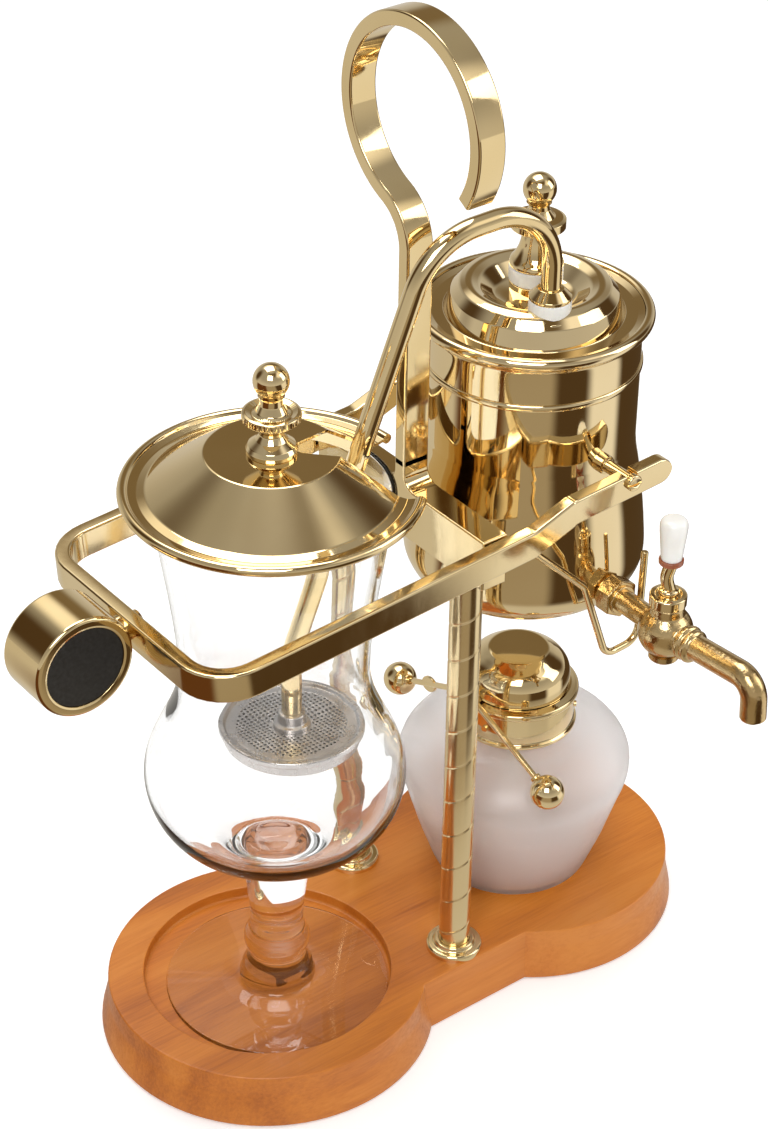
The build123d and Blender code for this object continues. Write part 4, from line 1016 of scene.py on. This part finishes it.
def tap_casting():
    """Pipe, ball, collars and spout fused into one casting with soft inside corners."""
    x = TAP_X
    pipe = lathe("pipe", [(0, -49.7), (4.8, -49.7), (4.8, TAP_Y), (0, TAP_Y)], (x, TAP_Z), "Y", pose=HANG,
                 segs=48)
    bulb = ball("bulb", (x, TAP_Y, TAP_Z), TAP_BALL, pose=HANG, segs=64)
    neck = lathe("neck", [(0, TAP_Z), (6.9, TAP_Z), (6.9, TAP_Z + 12.6), (0, TAP_Z + 12.6)], (x, TAP_Y),
                 pose=HANG, segs=64)
    route = rounded([((x, TAP_Y, TAP_Z), 0), ((x, SPOUT_END, TAP_Z + SPOUT_RISE), 9.0),
                     ((x, SPOUT_END - 1, TAP_Z - 12.4), 0)], 14)
    spout = swept("spout", route, circle(SPOUT_R, 36), pose=HANG)
    rings = []
    for y, r in ((TAP_Y - 12.5, 7.3), (TAP_Y - 15.7, 6.9)):
        bead = [(0, y - 1.7), (r - 1.4, y - 1.7), (r, y - 0.7), (r, y + 0.7), (r - 1.4, y + 1.7),
                (0, y + 1.7)]
        rings.append(lathe("bead", bead, (x, TAP_Z + 0.9), "Y", pose=HANG, segs=48))
    body = joined("tap_casting", pipe, bulb, neck, spout, *rings)
    merge = body.modifiers.new("merge", "REMESH")
    merge.mode = "VOXEL"
    merge.voxel_size = 0.00042
    soften = body.modifiers.new("soften", "SMOOTH")
    soften.factor = 0.5
    soften.iterations = 5
    settle(body)
    bore = swept("cutter", [Vector((x, SPOUT_END - 1 + 0.04 * k, TAP_Z - 14 + 3 * k)) for k in range(3)],
                 circle(3.3, 32), pose=HANG)
    return carve(body, bore)


def tap_ring():
    """Screwed ring round the plug stem."""
    z = TAP_Z + 12.6
    line = rounded(risen(z, (3.16, 0, 0), (7.35, 0, 0.3), (7.45, 4.4, 0.7), (5.4, 4.8, 0.4),
                         (4.9, 3.5, 0.3), (3.16, 3.4, 0)), 4)
    return lathe("tap_ring", line, (TAP_X, TAP_Y), pose=HANG, segs=64)


def tap_stem():
    """Plug with its neck ring and the plain stem to the grip."""
    z = TAP_Z
    line = rounded(risen(z, (0, -8.6, 0), (4.5, -8.6, 0), (4.5, 12.3, 0), (3.1, 12.3, 0),
                         (3.1, 16.7, 0.3), (4.0, 17.4, 0.8), (4.0, 19.2, 0.9), (2.8, 19.9, 0.5),
                         (0, 20.0, 0)), 4)
    plug = lathe("plug", line, (TAP_X, TAP_Y), pose=HANG, segs=48)
    bow = [0.0, 0.5, 1.0, 1.15, 0.8, 0.25, 0.0, 0.0]
    route = flowing([(TAP_X - 0.79 * b, TAP_Y + 0.61 * b, z + 19.2 + 2.0 * k) for k, b in enumerate(bow)],
                    4)
    stem = swept("stem", route, circle(2.6, 32), pose=HANG)
    tail = lathe("tail", [(0, z + 33), (2.18, z + 33), (2.18, z + 38), (0, z + 38)], (TAP_X, TAP_Y),
                 pose=HANG, segs=32)
    return joined("tap_stem", plug, stem, tail)


def tap_screw():
    """Nut and screw end under the tap."""
    z = TAP_Z - 13.6
    line = rounded(risen(z, (0, 0, 0), (2.4, 0, 0.4), (2.5, 0.5, 0), (5.4, 0.5, 0.4), (6.0, 1.2, 0.3),
                         (6.0, 3.4, 0), (2.6, 4.2, 0), (0, 4.2, 0)), 3)
    return lathe("tap_screw", line, (TAP_X, TAP_Y), pose=HANG, segs=48)


def grip():
    """White grip, wider at the top."""
    z = TAP_Z + 33.6
    line = rounded(risen(z, (0, 0.2, 0), (2.6, 0.2, 0), (4.1, 0, 0.5)), 3)
    line += flowing(risen(z, (4.3, 1.2), (4.75, 6), (5.25, 11), (5.5, 14.4), (5.2, 16.4), (4.2, 17.5),
                          (2.4, 17.9), (0, 18)), 5)
    line[-1] = Vector((0, z + 18))
    return lathe("white_grip", line, (TAP_X, TAP_Y), pose=HANG, segs=64)


def ferrule():
    """Brown collar under the grip."""
    z = TAP_Z + 31.2
    line = rounded(sharp((2.64, z), (4.8, z + 0.1), (4.95, z + 2.3), (2.64, z + 2.35), r=0.5), 5,
                   loop=True)
    return lathe("brown_ferrule", line, (TAP_X, TAP_Y), pose=HANG, loop=True, segs=64)


place_piece(hex_nut(), "boiler", CAST_GOLD, "tap_nut", slot="tap_metal")
place_piece(tap_casting(), "boiler", CAST_GOLD, "tap_body", slot="tap_metal")
place_piece(tap_ring(), "boiler", GOLD, "tap_cap", slot="tap_metal")
place_piece(tap_screw(), "boiler", CAST_GOLD, "tap_bottom_nut", slot="tap_metal")
place_piece(tap_stem(), "tap_handle", GOLD, "tap_plug", slot="tap_metal")
place_piece(ferrule(), "tap_handle", BROWN, "tap_ferrule", slot="ferrule")
place_piece(grip(), "tap_handle", WHITE, "tap_grip", slot="grip")


# ------------------------------------------------------------------ siphon tube and filter
def tube_route():
    """Centre line of the siphon tube: up, over the crossbar, down a long slope and into the glass."""
    start_y = BOIL_Y + TUBE_Y
    run = TUBE_X - FILT_X
    knee_z = ARCH_Z - ARCH_DROP - (run - ARCH_SPAN) * tan(radians(ARCH_FALL))
    corners = [(0, BOIL_BOTTOM + 8, 0), (0, ARCH_Z, ARCH_R[0]),
               (ARCH_SPAN, ARCH_Z - ARCH_DROP, ARCH_R[1]), (run, knee_z, ARCH_R[2]),
               (run, FILT_TOP - 4, 0)]
    return rounded([((TUBE_X - u, start_y + (FILT_Y - start_y) * u / run, z), r) for u, z, r in corners],
                   22)


place_piece(swept("bent_tube", tube_route(), circle(TUBE_R, 40)), "boiler", GOLD, "siphon_tube",
            slot="gold")


def filter_rim():
    """Shallow drum with a rolled top edge."""
    z, r = FILT_TOP, FILT_R
    line = rounded(risen(z, (r - 4.6, -1.3, 0), (r - 3.0, -1.2, 0.5), (r - 2.2, 0, 0.6),
                         (r - 0.1, 0, 0.8), (r - 0.1, -2.3, 0.6), (r - 1.0, -3.0, 0.3),
                         (r - 1.7, -6.9, 0.4), (r - 2.8, -6.9, 0.2), (r - 2.6, -3.2, 0.3),
                         (r - 4.6, -2.2, 0)), 4, loop=True)
    return lathe("filter_rim", line, (FILT_X, FILT_Y), loop=True, segs=128)


def filter_boss():
    """Boss round the tube end."""
    z = FILT_TOP
    line = rounded(risen(z, (TUBE_R + 0.05, -1.1, 0), (7.2, -1.1, 0), (7.2, 0.6, 0.6), (5.4, 1.4, 0.8),
                         (5.4, 5.4, 0.5), (TUBE_R + 0.05, 5.6, 0)), 4)
    return lathe("filter_boss", line, (FILT_X, FILT_Y))


def sieve():
    """Perforated plate with real holes, solid in the middle under the boss."""
    z0, z1 = FILT_TOP - 2.0, FILT_TOP - 1.25
    outer, pitch, hole, plain = FILT_R - 4.5, 1.85, 0.58, 8.2
    bm = bmesh.new()
    rows = int(outer / pitch) + 2
    spots = {}

    def vert(x, y, z):
        key = (round(x, 3), round(y, 3), z)
        if key not in spots:
            spots[key] = bm.verts.new(Vector((FILT_X + x, FILT_Y + y, z)) * MM)
        return spots[key]

    def face(*corners):
        add_face(bm, corners)

    half = pitch / 2
    for i in range(-rows, rows + 1):
        for j in range(-rows, rows + 1):
            cx, cy = i * pitch, j * pitch
            if (abs(cx) + half) ** 2 + (abs(cy) + half) ** 2 > outer * outer:
                continue
            pierced = cx * cx + cy * cy > plain ** 2
            square = [(cx + half, cy - half), (cx + half, cy), (cx + half, cy + half), (cx, cy + half),
                      (cx - half, cy + half), (cx - half, cy), (cx - half, cy - half), (cx, cy - half)]
            if not pierced:
                face(*[vert(x, y, z1) for x, y in square])
                continue
            well = [(cx + hole * cos(a),
                     cy + hole * sin(a)) for a in (radians(-45 + 45 * k) for k in range(8))]
            for k in range(8):
                m = (k + 1) % 8
                face(vert(*square[k], z1), vert(*square[m], z1), vert(*well[m], z1), vert(*well[k], z1))
                face(vert(*well[k], z1), vert(*well[m], z1), vert(*well[m], z0), vert(*well[k], z0))
                face(vert(*square[m], z0), vert(*square[k], z0), vert(*well[k], z0), vert(*well[m], z0))
    bmesh.ops.recalc_face_normals(bm, faces=bm.faces)
    plate = built("sieve", bm)
    edge = lathe("edge",
                 rounded(sharp((outer - 2.6, z0 + 0.1), (outer + 0.1, z0 + 0.1), (outer + 0.1, z1 + 0.1),
                               (outer - 2.6, z1 + 0.1), r=0.2), 2, loop=True), (FILT_X, FILT_Y),
                               loop=True, segs=128)
    return joined("perforated_plate", plate, edge)


def filter_sheet():
    """Round of woven cotton drawn flat under the sieve, with slight puckers towards its edge."""
    r0, thick, level = FILT_R - 3.1, 0.35, FILT_TOP - 6.2
    rings, spokes = 14, 96
    verts = []
    for side in (1, -1):
        verts.append((FILT_X, FILT_Y, level + side * thick / 2))
        for i in range(1, rings + 1):
            r = r0 * i / rings
            for k in range(spokes):
                a = TURN * k / spokes
                pucker = 0.22 * (r / r0) ** 3 * sin(17 * a + 2 * sin(3 * a)) + 0.12 * sin(5 * a) * r / r0
                verts.append((FILT_X + r * cos(a), FILT_Y + r * sin(a),
                              level + pucker + side * thick / 2))
    faces = []
    half = 1 + rings * spokes
    for base in (0, half):
        for k in range(spokes):
            m = (k + 1) % spokes
            faces.append((base, base + 1 + k, base + 1 + m))
            for i in range(rings - 1):
                a, b = base + 1 + i * spokes, base + 1 + (i + 1) * spokes
                faces.append((a + k, b + k, b + m, a + m))
    rim = 1 + (rings - 1) * spokes
    faces += [(rim + k, rim + (k + 1) % spokes, half + rim + (k + 1) % spokes,
               half + rim + k) for k in range(spokes)]
    return make("cotton_round", verts, faces)


cloth = place_piece(filter_sheet(), "boiler", CLOTH, "filter_cloth", slot="cloth")
place_piece(filter_rim(), "boiler", STEEL, "filter_drum", slot="steel")
place_piece(filter_boss(), "boiler", STEEL, "filter_hub", slot="steel")
place_piece(sieve(), "boiler", STEEL, "filter_plate", slot="steel")


# ------------------------------------------------------------------ glass vessel and lid
def vessel():
    """Blown vessel: solid knopped stem on a flat foot, bulb, waist and flared mouth."""
    z, t = RECESS_Z, GLASS_T
    line = rounded(risen(z, (0, 0, 0), (FOOT_R, 0, 0.5), (FOOT_R, 1.9, 0.8), (23, 3.2, 6),
                         (17.5, 4.2, 0)), 4)
    line += flowing([(15.6, z + 5.6), (15.0, z + 8.4), (14.2, z + 11.4), (12.2, z + 14.6),
                     (11.8, z + 18.2), (12.9, z + 21.2), (13.6, z + 24.2), (13.1, z + 27.6),
                     (11.4, z + 30.6), (10.8, z + 35), (11.3, z + 44), (12.4, z + 54), (13.8, z + 62),
                     (16.6, z + 69), (23.6, z + 75.4), (33, z + 81.5), (41.6, z + 88), (47.4, z + 95.6),
                     (50.6, z + 104), (51.5, z + 112), (50.2, z + 120), (46.8, z + 128.6),
                     (42.6, z + 137.4), (39, z + 147), (37.0, z + 157), (36.9, z + 167), (37.8, z + 180),
                     (39.6, z + 195), (41.9, z + 211), (44.2, z + 227), (45.9, GLASS_TOP - 3)], 6)
    line += rounded(risen(GLASS_TOP, (46.0, -2, 0), (46.2, 0, 0.9), (46.2 - t, 0, 0.9),
                          (46.0 - t, -2, 0)), 5)
    line += flowing([(45.8 - t, GLASS_TOP - 4), (44.1 - t, z + 227), (41.8 - t, z + 211),
                     (39.5 - t, z + 195), (37.7 - t, z + 180), (36.8 - t, z + 167), (36.9 - t, z + 157.4),
                     (38.9 - t, z + 146.2), (42.3 - t, z + 136.2), (46.4 - t, z + 127.8),
                     (50.0 - t, z + 119.8), (51.3 - t, z + 112), (50.3 - t, z + 104.4),
                     (46.8 - t, z + 96.6), (40.6 - t, z + 89.4), (32.0 - t, z + 83.8), (24.0, z + 80.2),
                     (17.5, z + 77.4), (13.6, z + 76.6), (11.0, z + 77.6), (7.0, z + 79.6),
                     (0, z + 80.4)], 6)
    line[-1] = Vector((0, z + 80.4))
    obj = lathe("blown_vessel", line, (GLASS_X, GLASS_Y), segs=160, crisp=60)
    obj.visible_shadow = False
    obj.visible_diffuse = False
    return obj


place_piece(vessel(), "stand", CLEAR, "glass_vessel", slot="clear_glass")


def vessel_lid():
    """Spun lid: flat top, sloping side, channel and rolled rim, with an open notch for the tube."""
    z, t = LID_Z, 1.2
    top = rounded([((2.6, PLATE_Z), 0), ((PLATE_R, PLATE_Z), 1.6), ((46.8, z + 1.5), 3.0),
                   ((50.2, z + 0.7), 2.0), ((LID_RIM - 2.2, z + 1.25), 0)], 5)
    roll = [Vector((LID_RIM + LID_ROLL * cos(a),
                    z + 0.6 + LID_ROLL * sin(a))) for a in (radians(160 - 320 * k / 22) for k in range(23))]
    under = rounded([((LID_RIM - 2.2, z - 0.02), 0), ((50.2, z - 0.5), 1.6), ((46.4, z + 0.2), 2),
                     ((43.4, z + 2.2), 0.4), ((43.4, z - 3), 0.3), ((42.2, z - 3), 0.3),
                     ((42.2, z + 3.0), 0.4), ((PLATE_R - 0.3, PLATE_Z - t), 1.5),
                     ((2.6, PLATE_Z - t), 0)], 5)
    lid = lathe("spun_cover", top + roll + under, (GLASS_X, GLASS_Y), segs=192, loop=True)
    ax, ay = GLASS_X + NOTCH_X, GLASS_Y + NOTCH_Y
    start, end = (radians(a) for a in NOTCH_DEG)
    out = 80.0
    wedge = [(ax - NOTCH_R * sin(start) + out * cos(start), ay + NOTCH_R * cos(start) + out * sin(start))]
    for k in range(17):
        a = start + pi / 2 + (pi - (start - end)) * k / 16
        wedge.append((ax + NOTCH_R * cos(a), ay + NOTCH_R * sin(a)))
    wedge.append((ax + NOTCH_R * sin(end) + out * cos(end), ay - NOTCH_R * cos(end) + out * sin(end)))
    return carve(lid, prism("cutter", wedge, z - 12, z + 34, "Z", bevel=0))


def finial():
    """Turned finial with a milled dish and a ball."""
    z = PLATE_Z
    line = rounded(risen(z, (0, -5, 0), (2.5, -5, 0), (2.5, 0, 0), (9.5, 0, 0.4), (9.7, 1.8, 0.6),
                         (8.8, 3.4, 0.9), (6.0, 5.6, 2.0), (4.5, 7.6, 1.2), (4.6, 9.2, 0.8),
                         (6.6, 10.8, 1.0), (9.8, 13.3, 0.8), (10.9, 14.2, 0.4), (10.9, 16.8, 0.4),
                         (9.7, 17.2, 0.4), (7.4, 16.2, 0.8), (5.8, 17.2, 1.0), (4.3, 20.0, 1.6),
                         (4.0, 22.6, 0.6), (5.0, 23.6, 0.4)), 4)
    r, mid = 6.8, z + 29.6
    line += ball_end(r, mid, acos(5.6 / r))
    return lathe("turned_finial", line, (GLASS_X, GLASS_Y), segs=144,
                 wave=milled(z + 14.3, z + 16.6, 52, 0.16))


place_piece(vessel_lid(), "vessel_lid", GOLD, "glass_lid", slot="gold")
place_piece(finial(), "vessel_lid", GOLD, "lid_finial", slot="gold")


# ------------------------------------------------------------------ burner
def bottle():
    """Frosted bottle, wall and floor."""
    z, neck, top = BASE_TOP, COLLAR_R - 1.6, COLLAR_Z1 - 2
    side = [(33.4, z + 1.2), (34.6, z + 3.6), (36.8, z + 9.6), (40.2, z + 19), (43.4, z + 29.5),
            (46.4, z + 39.5), (48.6, z + 46.6), (BELLY_R - 0.1, z + 51.4), (48.9, z + 56),
            (46.6, z + 60.6), (42.4, z + 64.8), (36.8, z + 68.2), (31, z + 70.4)]
    line = flowing([(31.6, z + 0.1)] + side + [(26, z + 71.4)], 6)
    line = [Vector((0, z + 0.8)), Vector((28.4, z + 0.5)), Vector((30.0, z))] + line
    line += rounded([((neck + 0.2, z + 71.9), 0), ((neck, z + 72.5), 0.3), ((neck, top), 0.8),
                     ((neck - 2.4, top), 0.8), ((neck - 2.4, z + 71), 2), ((26, z + 68.6), 0)], 4)
    inner = [(32, z + 67.8), (36.4, z + 65.6), (40.8, z + 62.8), (44.4, z + 59.2), (46.6, z + 55.4),
             (BELLY_R - 2.4, z + 51.2)] + [(r - 2.3, h) for r, h in reversed(side[2:7])]
    line += flowing(inner + [(31.6, z + 4.6), (29.0, z + 3.1)], 6)
    line.append(Vector((0, z + 3)))
    obj = lathe("frosted_bottle", line, (BURN_X, 0), segs=128, crisp=50)
    obj.visible_shadow = False
    return obj


def fill_level():
    """Spirit up to half the bottle's height, just clear of its wall."""
    z = BASE_TOP
    line = [(28.6, z + 3.4), (31.2, z + 4.8), (34.1, z + 9.8), (37.5, z + 19), (40.7, z + 29.5),
            (42.2, z + 34.6)]
    line = [Vector((0, z + 3.4))] + flowing(line, 5) + [Vector((41.8, z + 35.0)), Vector((0, z + 35.0))]
    return lathe("spirit_fill", line, (BURN_X, 0), segs=96)


def neck_collar():
    """Turned collar with a lip, a bead, a floor and the hinge ear."""
    z0, z1, r = COLLAR_Z0, COLLAR_Z1, COLLAR_R
    bore = r - 1.5
    line = rounded([((bore, z0), 0), ((r + 1.1, z0), 0.6), ((r + 1.1, z0 + 1.4), 0.6),
                    ((r, z0 + 2.2), 1.0), ((r, z1 - 3.9), 0.2), ((r + 1.5, z1 - 3.5), 1.0),
                    ((r + 1.5, z1 - 1.0), 1.1), ((r - 0.2, z1 - 0.5), 0.3), ((DOME_R + 0.6, z1), 0.3),
                    ((4.05, z1), 0), ((4.05, z1 - 1.4), 0), ((bore, z1 - 1.4), 0)], 5)
    return lathe("turned_collar", line, (BURN_X, 0), loop=True, segs=128)


def ear(name, y0, y1, r, toward, low, high):
    """Hinge ear: a round eye with a short arm."""
    line = [(HINGE_X + r * cos(a),
             HINGE_Z + r * sin(a)) for a in (radians(90 + 180 * k / 12) for k in range(13))]
    line += [(toward, HINGE_Z + low), (toward, HINGE_Z + high)]
    return prism(name, line, y0, y1, "Y", bevel=0.3)


def dome():
    """Spun snuffer with a flat top and two hinge ears."""
    z, top, r, t = COLLAR_Z1 + 0.3, DOME_TOP, DOME_R, 1.0
    line = [Vector((r - t, z)), Vector((r, z)), Vector((r, z + 3.8))]
    line += flowing([(r - 0.05, z + 4.6), (r - 0.9, z + 8.2), (r - 3.2, z + 11.8), (r - 6.6, top - 2.2),
                     (DOME_FLAT + 1.2, top - 0.3)], 6)[1:]
    line += [Vector((DOME_FLAT, top)), Vector((0, top)), Vector((0, top - t)),
             Vector((DOME_FLAT - 0.3, top - t))]
    line += flowing([(DOME_FLAT + 0.8, top - 1.4), (r - 7.4, top - 3.3), (r - 4.2, z + 11.2),
                     (r - 1.95, z + 7.8), (r - 1.05, z + 4.4)], 4)[1:]
    shell = lathe("shell", line, (BURN_X, 0), segs=128)
    ears = [ear("ear", *sorted((side * 1.6, side * 4.4)), 2.4, BURN_X - DOME_R + 1.2, -0.6,
                1.8) for side in (-1, 1)]
    return joined("snuffer_cap", shell, *ears)


def lever(name, side):
    """Rod from the ear to a ball; the rear rod carries a small leaf."""
    root = Vector((HINGE_X - 1.0, side * 4.4, HINGE_Z + 1.2))
    end = Vector((BALL_X, side * BALL_Y, BALL_Z))
    stem = swept("stem", [root + (end - root) * t for t in (0, 0.5, 1)], circle(1.3, 24))
    end_ball = ball("knob", tuple(end), BALL_R)
    axis = (root - end).normalized()
    seat = end + axis * (BALL_R - 0.4)
    washer = swept("washer", [seat, seat + axis * 1.6], circle(2.3, 32))
    ease(washer, 0.4)
    parts = [stem, end_ball, washer]
    if side > 0:
        mid = root + (end - root) * 0.5
        turn = Matrix.Translation(mid) @ axis.to_track_quat("X", "Z").to_matrix().to_4x4()
        n, long, wide, half = 28, 5.2, 3.6, 0.7
        outline = [(long * cos(TURN * k / n), wide * sin(TURN * k / n)) for k in range(n)]
        verts = [turn @ Vector((a, h, b)) for h in (-half, half) for a, b in outline]
        faces = [tuple(range(n)), tuple(range(n, 2 * n))]
        faces += [(k, (k + 1) % n, n + (k + 1) % n, n + k) for k in range(n)]
        leaf = make("leaf", verts, faces)
        ease(leaf, 0.35)
        parts.append(leaf)
    return joined(name, *parts)


place_piece(bottle(), "burner", FROSTED, "burner_bottle", slot="frosted_glass")
# the fuel's warm brown tint is a painted reflection of the wooden base
place_piece(fill_level(), "burner", SPIRIT_WITH_PAINTED_REFLECTION, "fuel", slot="spirit")
collar_piece = joined("burner_neck", neck_collar(),
                      ear("ear", -1.4, 1.4, 2.6, BURN_X - COLLAR_R + 1.5, -8.0, -1.2))
place_piece(collar_piece, "burner", GOLD, "burner_collar", slot="gold")
place_piece(dome(), "snuffer", GOLD, "snuffer_dome", slot="gold")
place_piece(lever("ball_lever_front", -1), "snuffer", GOLD, "snuffer_lever_front", slot="gold")
place_piece(lever("ball_lever_rear", 1), "snuffer", GOLD, "snuffer_lever_rear", slot="gold")

# ------------------------------------------------------------------ CAD nodes that stay
STAY = {"base_felt": FELT_MAT, "base_screws": STEEL, "pivot_pins": STEEL, "weight_screw": GOLD,
        "weight_spacer": GOLD, "collar_rivets": GOLD, "wick_holder": GOLD, "wick": WICK,
        "hinge_pin": STEEL}
for node, mat in STAY.items():
    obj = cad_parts[node]
    obj.data.materials.clear()
    obj.data.materials.append(mat)
